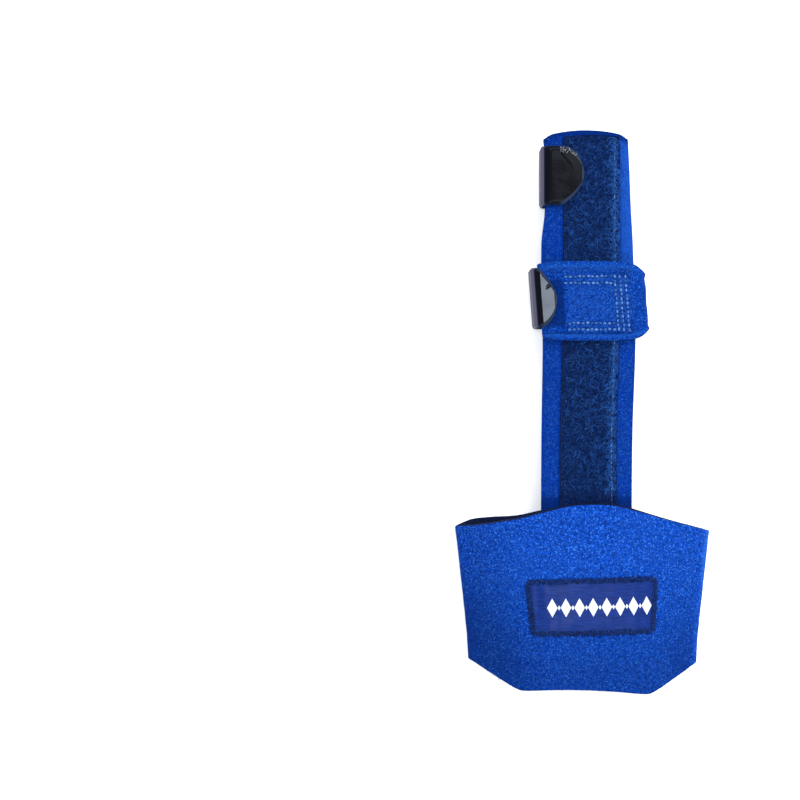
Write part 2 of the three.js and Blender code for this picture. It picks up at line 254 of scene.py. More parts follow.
def make_piece(name, points, polygons, finishes, finish_of=None, shade=None, uv=None):
    """One object from points in millimetres and a list of arrays of polygons, its place in its
    mesh. shade is a number for each point, and uv two, for the finishes to read."""
    points = np.asarray(points, float).reshape(-1, 3) + (0, HEM_Y, 0)
    polygons = [np.asarray(p) for p in polygons if len(p)]
    corners = np.concatenate([p.ravel() for p in polygons])
    sides = np.concatenate([np.full(len(p), p.shape[1]) for p in polygons])
    mesh = bpy.data.meshes.new(name)
    mesh.vertices.add(len(points))
    mesh.vertices.foreach_set("co", (points * MM).ravel())
    mesh.loops.add(len(corners))
    mesh.loops.foreach_set("vertex_index", corners)
    mesh.polygons.add(len(sides))
    mesh.polygons.foreach_set("loop_start", np.concatenate([[0], np.cumsum(sides)[:-1]]))
    mesh.polygons.foreach_set("use_smooth", np.ones(len(sides), bool))
    for finish in finishes:
        mesh.materials.append(finish)
    if finish_of is not None:
        mesh.polygons.foreach_set("material_index", np.asarray(finish_of, np.int32))
    if shade is not None:
        layer = mesh.attributes.new("shade", "FLOAT", "POINT")
        layer.data.foreach_set("value", np.asarray(shade, np.float32).ravel())
    if uv is not None:
        layer = mesh.uv_layers.new(name="cloth")
        layer.data.foreach_set("uv", np.asarray(uv, np.float32).reshape(-1, 2)[corners].ravel())
    mesh.update(calc_edges=True)
    piece = bpy.data.objects.new(name, mesh)
    bpy.context.scene.collection.objects.link(piece)
    return piece


def settle(piece, slot, *nodes):
    """The piece rides with the splint's one body and stands for nodes. Its slot is not used."""
    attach(piece, "root")
    if nodes:
        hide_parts(*nodes)
    return piece


def slab_section(flat, edge_points):
    """Section of a flat strap, once round: share of the half width, share of the edge's bulge,
    and height from -1 to 1. The top runs left to right, then round the right edge."""
    top = np.linspace(-1, 1, flat)
    turn = np.linspace(0, np.pi, edge_points + 2)[1:-1]
    across = np.concatenate([top, np.ones(edge_points), top[::-1], -np.ones(edge_points)])
    bulge = np.concatenate([0 * top, np.sin(turn), 0 * top, -np.sin(turn)])
    height = np.concatenate([0 * top + 1, np.cos(turn), 0 * top - 1, -np.cos(turn)])
    # The loop starts in the middle of the left edge, so that points face each other in pairs.
    start = -(edge_points // 2)
    return [np.roll(a, -start) for a in (across, bulge, height)]


def between(bottom, top, height):
    """The bottom's height where height is -1, the top's where it is 1, and a straight mix."""
    return (top + bottom) / 2 + height * (top - bottom) / 2


# Routes across the finger, for straps: x to the right, z up, the outer face on the left hand

ROUTE_STEP = 0.35


def straight_run(x0, z0, x1, z1):
    """Points of a line, with its direction."""
    length = np.hypot(x1 - x0, z1 - z0)
    t = np.linspace(0, 1, max(2, int(length / ROUTE_STEP)))
    along = np.array([(x1 - x0) / length, (z1 - z0) / length])
    return np.stack([x0 + (x1 - x0) * t, z0 + (z1 - z0) * t], -1), np.tile(along, (len(t), 1))


def turned_run(cx, cz, radius, start, end):
    """Points of an arc run clockwise from one angle to a lesser one, with its direction."""
    t = np.linspace(start, end, max(4, int(radius * (start - end) / ROUTE_STEP)))
    points = np.stack([cx + radius * np.cos(t), cz + radius * np.sin(t)], -1)
    return points, np.stack([np.sin(t), -np.cos(t)], -1)


def sewn_route(*stretches):
    """Joins stretches end to end and leaves out the points that two of them share. Returns the
    points, the directions and the length run at each point."""
    points = np.concatenate([stretches[0][0]] + [s[0][1:] for s in stretches[1:]])
    along = np.concatenate([stretches[0][1]] + [s[1][1:] for s in stretches[1:]])
    run = np.concatenate([[0], np.cumsum(np.linalg.norm(np.diff(points, axis=0), axis=1))])
    return points, along, run


def carry_strap(route, section, half_width, wall, lean, centre_x, centre_y, relief=None):
    """A strap's points: each section stands across its route. A point lies off the route by half
    the wall times its height, and across by its share of the half width, which is one number, a
    column with a number for each section, or a number for each point."""
    points, along, run = route
    across, bulge, height = section
    edge = wall * 0.4
    half = half_width + np.zeros((len(points), 1))
    y = across * np.maximum(half - edge, 0.02) + bulge * np.minimum(edge, half)
    off = height * wall / 2 * np.ones_like(y)
    if relief is not None:
        raised = (height > 0.5) * ease(points[:, 1], 1.5 * wall, 1.5 * wall + 2)[:, None]
        off = off + raised * relief(run[:, None], y, points[:, None, 0])
    x = points[:, None, 0] - along[:, None, 1] * off
    z = points[:, None, 1] + along[:, None, 0] * off
    return np.stack([centre_x + x + lean * y, centre_y + y, z], -1)


# Finger support and loop strip

def support_sides(y):
    """Left and right side of the support: its half width times the share that its table gives
    at that distance from the tip."""
    from_tip = (TIP_Y - y) / SUPPORT_REACH
    left = SUPPORT_OFFSET - SUPPORT_HALF_WIDTH * follow(SIDES, 1, from_tip)
    return left, SUPPORT_OFFSET + SUPPORT_HALF_WIDTH * follow(SIDES, 2, from_tip)


def support_faces(e):
    """Top and bottom of the support at e, 0 on its centreline and 1 at its sides: an arched
    middle height, and a thickness that falls off near the edge."""
    into_edge = np.maximum(0, (e - 0.75) / 0.25)
    half = SUPPORT_THICKNESS / 2 * (1 - 0.55 * into_edge ** 2.2)
    middle = SUPPORT_FLOOR + SUPPORT_THICKNESS / 2 + SUPPORT_CROWN * (1 - e * e)
    return middle + half, middle - half


def support_share(x, y):
    """How far a place lies from the support's centreline: 0 on it, and 1 at the sides."""
    left, right = support_sides(y)
    return np.minimum(1, np.abs(x - (left + right) / 2) / ((right - left) / 2))


def support_top(x, y):
    """Height of the support's top under the strip."""
    return support_faces(support_share(x, y))[0]


def edge_slump(e):
    """How far the padded cover sinks toward its sides, past the strip."""
    return 0.5 * ease(np.abs(e), 0.6, 0.86)


def support_skin(x, y):
    """Height of the support's top at its two margins."""
    e = support_share(x, y)
    return support_faces(e)[0] - edge_slump(e)


def tip_drop(e):
    """How far the tip's edge lies back at e, 0 on the centreline and 1 at a side: an arch that
    goes with e squared, and a rounder corner past 0.8."""
    into_corner = np.maximum(0, (np.abs(e) - 0.8) / 0.2)
    return TIP_ARCH * e * e + TIP_CORNER * into_corner ** 2


def strip_centre(y):
    """The strip's centreline, which wanders over the support by its table's last column."""
    shift = follow(SIDES, 3, (TIP_Y - y) / SUPPORT_REACH)
    return SUPPORT_OFFSET + SUPPORT_HALF_WIDTH * shift


def under_mouth(y):
    """1 where the sleeve's mouth shades what comes out of it, and 0 from 4.5 mm past it."""
    return 1 - ease(y, SLEEVE_LENGTH - 0.5, SLEEVE_LENGTH + 4.5)


def sew_support(jersey):
    """The support: sections across the finger, arched in the middle and thin at the edges,
    carried from the tail to the tip. The last rows shrink in a quarter circle to round the tip."""
    edge_bulge = 0.7
    across, bulge, height = slab_section(61, 8)
    e = np.sin(across * np.pi / 2)
    body = np.linspace(0, 1, 200)
    round_off = np.sin(np.linspace(0, np.pi / 2, 9))[1:]
    along = np.concatenate([body, np.ones(len(round_off))])[:, None]
    shrink = np.concatenate([np.ones(len(body)), np.sqrt(1.0001 - round_off ** 2)])[:, None]
    reach = np.concatenate([np.zeros(len(body)), round_off])[:, None]
    flat_y = TAIL_Y + (TIP_Y - edge_bulge - TAIL_Y) * along
    y = flat_y - tip_drop(e) * ease(along, 0.8, 1) + edge_bulge * reach
    left, right = support_sides(flat_y)
    x = (left + right) / 2 + e * ((right - left) / 2 - edge_bulge) + bulge * edge_bulge * shrink
    top, bottom = support_faces(np.abs(e))
    top = top - edge_slump(e)
    z = (top + bottom) / 2 + height * (top - bottom) / 2 * shrink
    x, y, z = np.broadcast_arrays(x, y, z)
    z = z + 0.14 * unevenness(x, y, 5.0, 11) + 0.08 * unevenness(x + y, y, 1.6, 12)
    points = np.stack([x, y, z], -1)
    # Painted shadow where it comes out from under the mouth, darker along the edge of its tip, and a
    # painted highlight up the right side
    at_tip = ease(along + 0.0 * z, 0.985, 1)
    lit_right_side = ease(e, 0.66, 0.85) * ease(y, BAND_Y + 4, BAND_Y + 20)
    shade = np.maximum(under_mouth(y), 0.8 * at_tip) - 0.9 * lit_right_side * (1 - at_tip)
    quads = close_tube(points)[:, ::-1]
    return make_piece("finger_support_padded", points, [quads], [jersey], shade=shade)


def sew_strip(tape):
    """The strip: a thin slab that follows the support's arched top, from its tail to just short
    of its tip. Its thickness wavers by a tenth of a millimetre."""
    edge = 0.4
    across, bulge, height = slab_section(41, 4)
    along = np.linspace(0, 1, 190)[:, None]
    offset = across * (STRIP_WIDTH / 2 - edge) + bulge * edge
    end_y = TIP_Y - STRIP_TIP_MARGIN - tip_drop(offset / SUPPORT_HALF_WIDTH)
    y = TAIL_Y + (end_y - TAIL_Y) * along
    x = strip_centre(y) + offset
    seat = support_top(x, y) + STRIP_SEAT
    thick = STRIP_THICKNESS + 0.1 * unevenness(x * 1.0, y, 1.1, 21)
    z = seat + (height + 1) / 2 * thick
    x, y, z = np.broadcast_arrays(x, y, z)
    points = np.stack([x, y, z], -1)
    uv = np.stack(np.broadcast_arrays(offset / STRIP_WIDTH + 0.5, y / STRIP_WIDTH), -1)
    quads = close_tube(points)[:, ::-1]
    return make_piece("loop_strip_tape", points, [quads], [tape], shade=under_mouth(y), uv=uv)


def spin_fibres(paths, radius, sides=3):
    """Closed tubes along many paths at once, paths[fibre, point]. A ring of points stands across
    each path, its radius given at each point, and a fan closes each end."""
    count, steps, _ = paths.shape
    along = np.gradient(paths, axis=1)
    along /= np.linalg.norm(along, axis=2, keepdims=True) + 1e-12
    sideways = np.cross(along, (0.31, 0.17, 0.93))
    sideways /= np.linalg.norm(sideways, axis=2, keepdims=True) + 1e-12
    upward = np.cross(sideways, along)
    turn = np.arange(sides) * 2 * np.pi / sides
    ring = sideways[:, :, None] * np.cos(turn)[:, None] + upward[:, :, None] * np.sin(turn)[:, None]
    thick = np.broadcast_to(radius, (count, steps))[:, :, None, None]
    points = paths[:, :, None] + ring * thick
    first = (np.arange(count) * steps * sides)[:, None, None]
    quads = (lay_grid(steps, sides)[None, :, ::-1] + first).reshape(-1, 4)
    side = np.arange(1, sides - 1)
    fan = np.stack([0 * side, side, side + 1], -1)
    ends = np.concatenate([fan, fan[:, ::-1] + (steps - 1) * sides])
    fans = (ends[None] + first).reshape(-1, 3)
    return points.reshape(-1, 3), quads, fans


def make_fibres(name, paths, radius, finish, sides=3, shade=None):
    """One piece from many fibres, with a shade for each fibre."""
    points, quads, fans = spin_fibres(paths, radius, sides)
    if shade is not None:
        shade = np.repeat(shade, len(points) // len(paths))
    return make_piece(name, points, [quads, fans], [finish], shade=shade)


def run_lines(x, y, heading, length):
    """Bent lines in the plane, heading[line, step]: each adds up equal steps of its length from
    its place (x, y), every step in its own heading."""
    steps = heading.shape[1]
    x = x[:, None] + length[:, None] * np.cumsum(np.cos(heading), axis=1) / steps
    return x, y[:, None] + length[:, None] * np.cumsum(np.sin(heading), axis=1) / steps


# Palm sleeve

CORE_FLOOR = SLEEVE_WALL / 2 + FOLD_RADIUS


def sleeve_section(v):
    """Half width of the section's core, and its crown: what the support and strip inside need."""
    widen = follow(SECTIONS, 1, v)
    half = HEM_HALF_WIDTH + (MOUTH_HALF_WIDTH - HEM_HALF_WIDTH) * widen
    core_half = half - SLEEVE_WALL / 2 - FOLD_RADIUS
    left, right = support_sides(SLEEVE_LENGTH)
    middle = strip_centre(SLEEVE_LENGTH)
    edge_top = support_faces(0.9)[0]
    wall_inside = CORE_FLOOR + FOLD_RADIUS - SLEEVE_WALL / 2
    crown = 0 * core_half
    for x, z in (
        (middle - STRIP_WIDTH / 2, STRIP_TOP),
        (middle + STRIP_WIDTH / 2, STRIP_TOP),
        (left, edge_top),
        (right, edge_top),
    ):
        needed = (z + SEAT_GAP - wall_inside) / (1 - (np.abs(x) / core_half) ** CROWN_POWER)
        crown = np.maximum(crown, needed)
    return core_half, crown * follow(SECTIONS, 2, v)


def front_core(across, core_half, crown):
    """The front of the core, z = floor + crown (1 - |across|^p), and the direction out of it."""
    slope = -crown * CROWN_POWER / core_half * np.abs(across) ** (CROWN_POWER - 1) * np.sign(across)
    length = np.hypot(1, slope)
    z = CORE_FLOOR + crown * (1 - np.abs(across) ** CROWN_POWER)
    return across * core_half, z, -slope / length, 1 / length


def fold_core(side, start, end, steps, core_half):
    """A fold's turn about the end of the core, its two ends left out."""
    t = np.linspace(0, 1, steps + 2)[1:-1, None]
    angle = start + (end - start) * t
    flat = np.zeros_like(angle)
    return side * core_half + flat, CORE_FLOOR + flat, np.cos(angle), np.sin(angle)


def hem_y(across):
    """The hem's edge at a share across the sleeve: a shallow hollow and a tilt between the two
    corners, and past them a rise along a softened straight line."""
    past_start = np.abs(across) - CHAMFER_START
    corner = (past_start + np.hypot(past_start, CORNER_SOFTNESS)) / 2 / (1 - CHAMFER_START)
    between = np.clip(across / CHAMFER_START, -1, 1)
    lift = HEM_TILT * (1 - between) / 2 + HEM_HOLLOW * (1 - between ** 2)
    return lift + (HEM_CORNER_RISE - HEM_TILT) * corner


def mouth_y(across, facing):
    """The mouth's edge at a share across the sleeve: the front's drop where the wall faces up,
    the back's where it faces down, and a mix of both between."""
    front = follow(MOUTH, 1, across)
    back = follow(MOUTH, 2, across)
    crest = SLEEVE_LENGTH - MOUTH_SLANT
    return crest - MOUTH_DROP * (back + (front - back) * (1 + facing) / 2)


def sleeve_relief(x, y):
    """How far the outer skin stands off its smooth form: slow waves and a faint quilt."""
    return 0.16 * unevenness(x, y, 13, 31) + 0.05 * unevenness(x, y, 2.6, 32)


def over_sleeve(x, y, distance):
    """Height of a skin that lies a distance outside the sleeve's front wall, over (x, y): the
    place on the core is found by eight rounds of stepping back along the direction out."""
    stand_off = FOLD_RADIUS + SLEEVE_WALL / 2 + distance + sleeve_relief(x, y)
    v = np.full(np.shape(x), 0.5)
    core_x = x
    for _ in range(8):
        core_half, crown = sleeve_section(v)
        place, z, out_x, out_z = front_core(core_x / core_half, core_half, crown)
        core_x = x - out_x * stand_off
        across = (place + out_x * FOLD_RADIUS) / (core_half + FOLD_RADIUS)
        hem = hem_y(across)
        v = (y - hem) / (mouth_y(across, 1) - hem)
    return z + out_z * stand_off


def lay_on_sleeve(place, distance):
    """Points a distance outside the sleeve's front wall, over places (x, y)."""
    z = over_sleeve(place[..., 0], place[..., 1], distance)
    return np.concatenate([place, z[..., None]], -1)


def cut_sleeve(jersey, foam, lining):
    """The sleeve: a wall's section (outer face, mouth edge, inner face, hem edge) carried once
    round the core. Each point stands off the core along its outward direction."""
    round_over = 0.4
    turn = np.linspace(0, np.pi / 2, 4)
    rise, shift = np.sin(turn), 1 - np.cos(turn)
    share = round_over / SLEEVE_WALL
    outer, inner = np.linspace(0, 1, 112), np.linspace(1, 0, 40)
    edge = np.linspace(1 - share, share, 9)[1:-1]
    # Along the sleeve, through the wall, and off the cut edge, in the order of the loop
    v = np.concatenate([
        outer, 1 + 0 * turn, 1 + 0 * edge, 1 + 0 * turn,
        inner, 0 * turn, 0 * edge, 0 * turn,
    ])
    w = np.concatenate([
        1 + 0 * outer, 1 - share * shift, edge, share * shift[::-1],
        0 * inner, share * shift, edge[::-1], 1 - share * shift[::-1],
    ])
    pull = round_over * np.concatenate([
        1 - 2 * outer, rise - 1, 0 * edge, rise[::-1] - 1,
        1 - 2 * inner, 1 - rise, 0 * edge, 1 - rise[::-1],
    ])
    # Each stretch starts on the point that the one before it ends on, and that point goes.
    stretches = (outer, turn, edge, turn, inner, turn, edge)
    kept = np.ones(len(v), bool)
    kept[np.cumsum([len(stretch) for stretch in stretches])] = False
    kept[[0, -1]] = [True, False]
    v, w, pull = v[None, kept], w[None, kept], pull[None, kept]
    core_half, crown = sleeve_section(v)
    tilt = np.arctan2(crown * CROWN_POWER, core_half)
    even = np.linspace(-1, 1, 170)[:, None]
    across = 0.35 * np.sin(even * np.pi / 2) + 0.65 * even
    back = np.linspace(1, -1, 96)[:, None] * core_half
    parts = [
        front_core(across, core_half, crown),
        fold_core(1, np.pi / 2 - tilt, -np.pi / 2, 15, core_half),
        (back, CORE_FLOOR + 0 * back, 0 * back, 0 * back - 1),
        fold_core(-1, -np.pi / 2, -1.5 * np.pi + tilt, 15, core_half),
    ]
    x, z, out_x, out_z = [np.concatenate([p[k] + 0 * core_half for p in parts]) for k in range(4)]
    place = (x + out_x * FOLD_RADIUS) / (core_half + FOLD_RADIUS)
    hem = hem_y(place)
    lip = MOUTH_SLANT * (1 - w) * np.maximum(0, out_z)
    y = hem + (mouth_y(place, out_z) + lip - hem) * v + pull
    on_edge = (v == 0) | (v == 1)
    y = y + on_edge * 0.12 * unevenness(x * 1.0, z * 2 + 7 * w, 0.8, 33) * np.sin(np.pi * w)
    stand_off = FOLD_RADIUS + (w - 0.5) * SLEEVE_WALL
    outer_x = x + out_x * (FOLD_RADIUS + SLEEVE_WALL / 2)
    stand_off = stand_off + w * sleeve_relief(outer_x, y) * ease(out_z, -0.9, 0.2)
    points = np.stack([x + out_x * stand_off, y, z + out_z * stand_off], -1)
    rows, columns = z.shape
    # 0 for the jersey outside, 1 for the cut edges and 2 for the lining, by the loop's quads
    w_next = np.roll(w, -1)
    kind = np.where((w == 1) & (w_next == 1), 0, np.where((w == 0) & (w_next == 0), 2, 1))
    kind = np.where((w > 1 - share * 1.01) & (w_next > 1 - share * 1.01), 0, kind)
    finish_of = np.broadcast_to(kind, (rows, columns)).ravel()
    quads = lay_grid(rows, columns, wrap_rows=True)
    # Painted shade, duller toward the hem and the two sides, and a painted highlight, pale along the
    # right fold
    to_hem = ease(1 - v + 0 * z, 0.1, 1)
    to_side = 0.42 * ease(-place, 0.25, 0.95) + 0.1 * ease(place, 0.45, 0.9)
    shade = np.clip(0.6 * to_hem + to_side, 0, 1) - 0.7 * ease(place, 0.93, 1)
    finishes = [jersey, foam, lining]
    return make_piece("palm_sleeve_neoprene", points, [quads], finishes, finish_of, shade=shade)


# Straps

BAND_HALF = SUPPORT_HALF_WIDTH + BAND_SLACK + BAND_WALL / 2
BAND_FRONT_HALF = BAND_HALF - BAND_SHOULDER
BAND_CENTRE = (SUPPORT_OFFSET, BAND_Y)
BAND_FRONT_Z = STRIP_TOP + SEAT_GAP + BAND_WALL / 2
BAND_TAB_SIDE = -(SUPPORT_HALF_WIDTH + BAND_SLACK + TAB_WALL / 2)
BAND_START = BAND_TAB_SIDE + TAB_WALL / 2 + SEAT_GAP + BAND_TUCK * TAB_SHOULDER


def band_front(x):
    """Height of the band's crowned front, at mid wall."""
    return BAND_FRONT_Z + BAND_CROWN * (1 - (x / BAND_FRONT_HALF) ** 2)


def crowned_run(lift, start, end):
    """Points of the band's crowned front at a height over its mid wall, with its direction."""
    x = np.linspace(start, end, max(3, int((end - start) / ROUTE_STEP)))
    slope = -2 * BAND_CROWN * x / BAND_FRONT_HALF ** 2
    length = np.hypot(1, slope)
    return np.stack([x, band_front(x) + lift], -1), np.stack([1 / length, slope / length], -1)


def take_up(route, lengths):
    """The same route, sampled at given lengths along it."""
    points, along, run = route
    at = [np.interp(lengths, run, points[:, k]) for k in (0, 1)]
    way = np.stack([np.interp(lengths, run, along[:, k]) for k in (0, 1)], -1)
    way /= np.linalg.norm(way, axis=1, keepdims=True)
    return np.stack(at, -1), way, lengths


def band_half_width(x, swell=1.0):
    """The band's half width: its side width, and on its front a swelling that falls to the
    sides as the root of 1 - (x / half)^4."""
    inward = np.sqrt(np.maximum(0, 1 - (np.abs(x) / BAND_HALF) ** 4))
    return BAND_SIDE_WIDTH / 2 + (BAND_FRONT_WIDTH - BAND_SIDE_WIDTH) / 2 * inward * swell


def sew_band(jersey):
    """The band: over the front, round the right shoulder and foot, and along the back. Its front
    swells in width, and its edges are turned over in a soft bead."""
    shoulder_z = BAND_FRONT_Z - BAND_SHOULDER
    foot_x = BAND_HALF - BAND_FOOT
    foot_z = BAND_WALL / 2 + BAND_FOOT
    route = sewn_route(
        crowned_run(0, BAND_START, BAND_FRONT_HALF),
        turned_run(BAND_FRONT_HALF, shoulder_z, BAND_SHOULDER, np.pi / 2, 0),
        straight_run(BAND_HALF, shoulder_z, BAND_HALF, foot_z),
        turned_run(foot_x, foot_z, BAND_FOOT, 0, -np.pi / 2),
        straight_run(foot_x, BAND_WALL / 2, -foot_x, BAND_WALL / 2),
    )
    x, z = route[0].T
    on_front = ease(z, shoulder_z, BAND_FRONT_Z)
    half = band_half_width(x, on_front)

    def relief(run, y, x):
        from_edge = half - np.abs(y)
        bead = 0.35 * bell(from_edge, 1.1, 0.8)
        groove = -0.12 * bell(from_edge, 2.6, 0.7)
        soft = 0.14 * unevenness(run, y, 4.0, 41) + 0.08 * unevenness(run, y, 1.3, 42)
        return bead + groove + soft

    section = slab_section(72, 8)
    half = half[:, None]
    points = carry_strap(route, section, half, BAND_WALL, BAND_LEAN, *BAND_CENTRE, relief)
    # Painted highlight: paler along the turned edges, where they catch the light
    from_edge = half * (1 - np.abs(section[0]))
    shade = -0.45 * bell(from_edge, 0.9, 0.9) * on_front[:, None]
    quads = close_tube(points)
    return make_piece("finger_band_neoprene", points, [quads], [jersey], shade=shade)


# The flap's edges and its lines of stitches, from the band's middle
FLAP_LOW, FLAP_HIGH = -11.4, 9.9
FLAP_END = BAND_FRONT_HALF + 0.3
FLAP_ROWS = (8.4, 6.2, -7.9, -10.1)
FLAP_COLUMNS = (9.4, 11.3, 13.2)
FLAP_SEWN_FROM = -7.6


def flap_seams(x, y):
    """1 along the flap's rows of stitches, and 0 away from them."""
    seam = 0 * x * y
    sewn = ease(x, FLAP_SEWN_FROM - 1, FLAP_SEWN_FROM)
    for row in FLAP_ROWS:
        seam = np.maximum(seam, bell(y, row, 0.65) * sewn)
    for column in FLAP_COLUMNS:
        seam = np.maximum(seam, bell(x, column, 0.6))
    return seam


def flap_height(x, y):
    """Height of the flap's top over the band's mid wall: a quilted pillow between its seams,
    rows of creases beside the hook tab, and a soft nap."""
    lift = BAND_WALL / 2 + SEAT_GAP + FLAP_WALL
    seam = flap_seams(x, y)
    creased = 1 - ease(x, FLAP_SEWN_FROM - 1.5, FLAP_SEWN_FROM + 0.5)
    crease = np.sin(y * 2 * np.pi / 2.1 + 1.5 * unevenness(x, y, 4, 51)) * 0.16 - 0.2
    nap = 0.1 * unevenness(x, y, 1.1, 52) + 0.12 * unevenness(x, y, 3.4, 53)
    return band_front(x) + lift + 0.25 - 0.4 * seam + creased * crease + nap * (1 - 0.6 * seam)


def sew_flap(jersey):
    """The flap: a slab over the band's front, from just over it up to the quilted height. It is
    45 parts in 100 thinner at its two long sides, and again at its free end."""
    across, bulge, height = slab_section(80, 6)
    x = np.linspace(BAND_START, FLAP_END, 112)[:, None]
    edge = 0.45
    middle, half = (FLAP_HIGH + FLAP_LOW) / 2, (FLAP_HIGH - FLAP_LOW) / 2
    y = middle + across * (half - edge) + bulge * edge
    bottom = band_front(x) + BAND_WALL / 2 + 0.1
    at_sides = ease(np.abs(y - middle), half - 0.8, half)
    at_end = ease(x, BAND_FRONT_HALF - 0.6, FLAP_END)
    thin = 1 - 0.45 * at_sides - 0.45 * at_end
    top = bottom + (flap_height(x, y) - bottom) * thin
    x, y, z = np.broadcast_arrays(x, y, between(bottom, top, height))
    points = np.stack([SUPPORT_OFFSET + x + BAND_LEAN * y, BAND_Y + y, z], -1)
    # Painted shade: darker in the creased strip beside the hook tab and in the grooves along the seams
    shade = (1 - ease(x, FLAP_SEWN_FROM - 2, FLAP_SEWN_FROM)) * (1 - ease(np.abs(y + 0.8), 7, 10))
    shade = np.maximum(shade, 0.8 * flap_seams(x, y))
    return make_piece("band_flap_jersey", points, [close_tube(points)], [jersey], shade=shade)


def stitch_paths(x, y, along_x, length, place, lift):
    """Short arched threads centred on points: each rises from the cloth and dips back into it."""
    t = np.linspace(-1, 1, 7)
    x = x[:, None] + along_x[:, None] * t * length / 2
    y = y[:, None] + (1 - along_x[:, None]) * t * length / 2
    return np.stack([x, y, place(x, y) + lift * (1 - 2.2 * t ** 4)], -1)


def sew_flap_stitches(thread):
    """Raised stitches in two rows at each long side of the flap and three at its free end."""
    pitch = 1.55
    x_row = np.arange(FLAP_SEWN_FROM, FLAP_COLUMNS[0] - 0.8, pitch)
    y_column = np.arange(FLAP_ROWS[-1], FLAP_ROWS[0] + 0.1, pitch * 0.99)
    x = np.concatenate([np.tile(x_row, len(FLAP_ROWS)), np.repeat(FLAP_COLUMNS, len(y_column))])
    y = np.concatenate([np.repeat(FLAP_ROWS, len(x_row)), np.tile(y_column, len(FLAP_COLUMNS))])
    in_rows = len(x_row) * len(FLAP_ROWS)
    along_x = np.concatenate([np.ones(in_rows), np.zeros(len(x) - in_rows)])
    rng = np.random.default_rng(54)
    x = x + rng.normal(0, 0.1, len(x))
    y = y + rng.normal(0, 0.1, len(y))
    paths = stitch_paths(x, y, along_x, 0.92, flap_height, 0.3)
    paths[..., 0] += SUPPORT_OFFSET + BAND_LEAN * paths[..., 1]
    paths[..., 1] += BAND_Y
    swell = np.sqrt(np.maximum(0.05, 1 - np.linspace(-1, 1, 7) ** 4))
    radius = 0.4 * swell * rng.uniform(0.8, 1.2, (len(x), 1))
    tone = rng.uniform(0, 1, len(x))
    return make_fibres("band_flap_stitches", paths, radius, thread, sides=6, shade=tone)


# How steep a tab runs where its paler bend begins
TAB_BEND_FROM = 0.62


def tab_route(start_x, back_z, side_x, front_z, last_run):
    """Along the back, round the foot, up the left side and over the shoulder to the front."""
    foot_x = side_x + TAB_FOOT
    shoulder_x = side_x + TAB_SHOULDER
    shoulder_z = front_z - TAB_SHOULDER
    return sewn_route(
        straight_run(start_x, back_z, foot_x, back_z),
        turned_run(foot_x, back_z + TAB_FOOT, TAB_FOOT, -np.pi / 2, -np.pi),
        straight_run(side_x, back_z + TAB_FOOT, side_x, shoulder_z),
        turned_run(shoulder_x, shoulder_z, TAB_SHOULDER, np.pi, np.pi / 2),
        last_run,
    )


def mould_tab(name, route, round_length, cuts, lean, centre_y, rise, tape, relief):
    """A hook tab: a thin slab on its route, with a pressed rim. Its far end is a half ellipse whose
    upper and lower corners are cut toward a straight line, each by its own share."""
    total = route[2][-1]
    straight = total - round_length
    # The round stops just short of its point, so that its last section keeps a width.
    turn = np.linspace(0, np.pi / 2, 44)[1:] * 0.985
    level = np.linspace(0, straight, 130)
    lengths = np.concatenate([level, straight + round_length * np.sin(turn)])
    sampled = take_up(route, lengths)
    section = slab_section(48, 6)
    to_point, to_ellipse = np.sin(turn), 1 - np.cos(turn)
    upper, lower = (
        np.concatenate([1 + 0 * level, 1 - cut * to_point - (1 - cut) * to_ellipse])[:, None]
        for cut in cuts
    )
    half = TAB_WIDTH / 2 * np.where(section[0] > 0, upper, lower)
    to_end = (total - sampled[2])[:, None]
    inside = half * (1 - np.abs(section[0]))
    rim_distance = np.minimum(inside, to_end + 0 * inside)

    # The rim is a fine ridge half a millimetre in, and its edge is rounded off.
    def pressed(run, y, x):
        rim = 0.06 * bell(rim_distance, 0.5, 0.25) - 0.2 * ease(-rim_distance, -0.35, 0.0)
        return rim + relief(run, y, x)

    centre_x, centre_y = SUPPORT_OFFSET + lean * rise, centre_y + rise
    points = carry_strap(sampled, section, half, TAB_WALL, lean, centre_x, centre_y, pressed)
    on_top = 0 * rim_distance + (section[2] > 0.5)
    in_round = ease(sampled[2], straight - 1.5, straight + 1)[:, None]
    shade = np.maximum((1 - ease(rim_distance, 0.5, 1.15)) * (0.25 + 0.75 * in_round), 1 - on_top)
    # Painted reflection: 2 on the bend, where the side turns over to the front, and a little over 1
    # down the side
    height = sampled[0][:, 1]
    bend_from = height.max() - TAB_SHOULDER - 0.9
    at_side = ease(sampled[1][:, 1], TAB_BEND_FROM, TAB_BEND_FROM + 0.15)
    at_side = at_side * (1.35 + 0.65 * ease(height, bend_from, bend_from + 0.8))
    shade = np.maximum(shade, at_side[:, None] * on_top)
    return make_piece(name, points, [close_tube(points)], [tape], shade=shade)


def mould_band_tab(tape):
    """The band's tab: it lies over the band's crowned front and leans with it. A short slanting
    crease runs across its round end."""
    lift = BAND_WALL / 2 + FLAP_WALL + 2 * SEAT_GAP + TAB_WALL / 2
    front_from = BAND_TAB_SIDE + TAB_SHOULDER
    front = crowned_run(lift, front_from, BAND_TAB_SIDE + BAND_TAB_FRONT)
    start_x = BAND_FOOT - BAND_HALF + TAB_LAP
    back_z = BAND_WALL + SEAT_GAP + TAB_WALL / 2
    route = tab_route(start_x, back_z, BAND_TAB_SIDE, band_front(front_from) + lift, front)

    def relief(run, y, x):
        crease = -0.07 * bell(y - 4.0, 0.7 * (x + 14), 0.45)
        crease = crease * ease(x, -15.5, -14) * (1 - ease(x, -12.8, -12))
        return crease + 0.025 * unevenness(run, y, 5.0, 61)

    name, lean, rise = "band_tab_hook_tape", BAND_LEAN, BAND_TAB_RISE
    return mould_tab(name, route, BAND_TAB_ROUND, BAND_TAB_CUTS, lean, BAND_Y, rise, tape, relief)


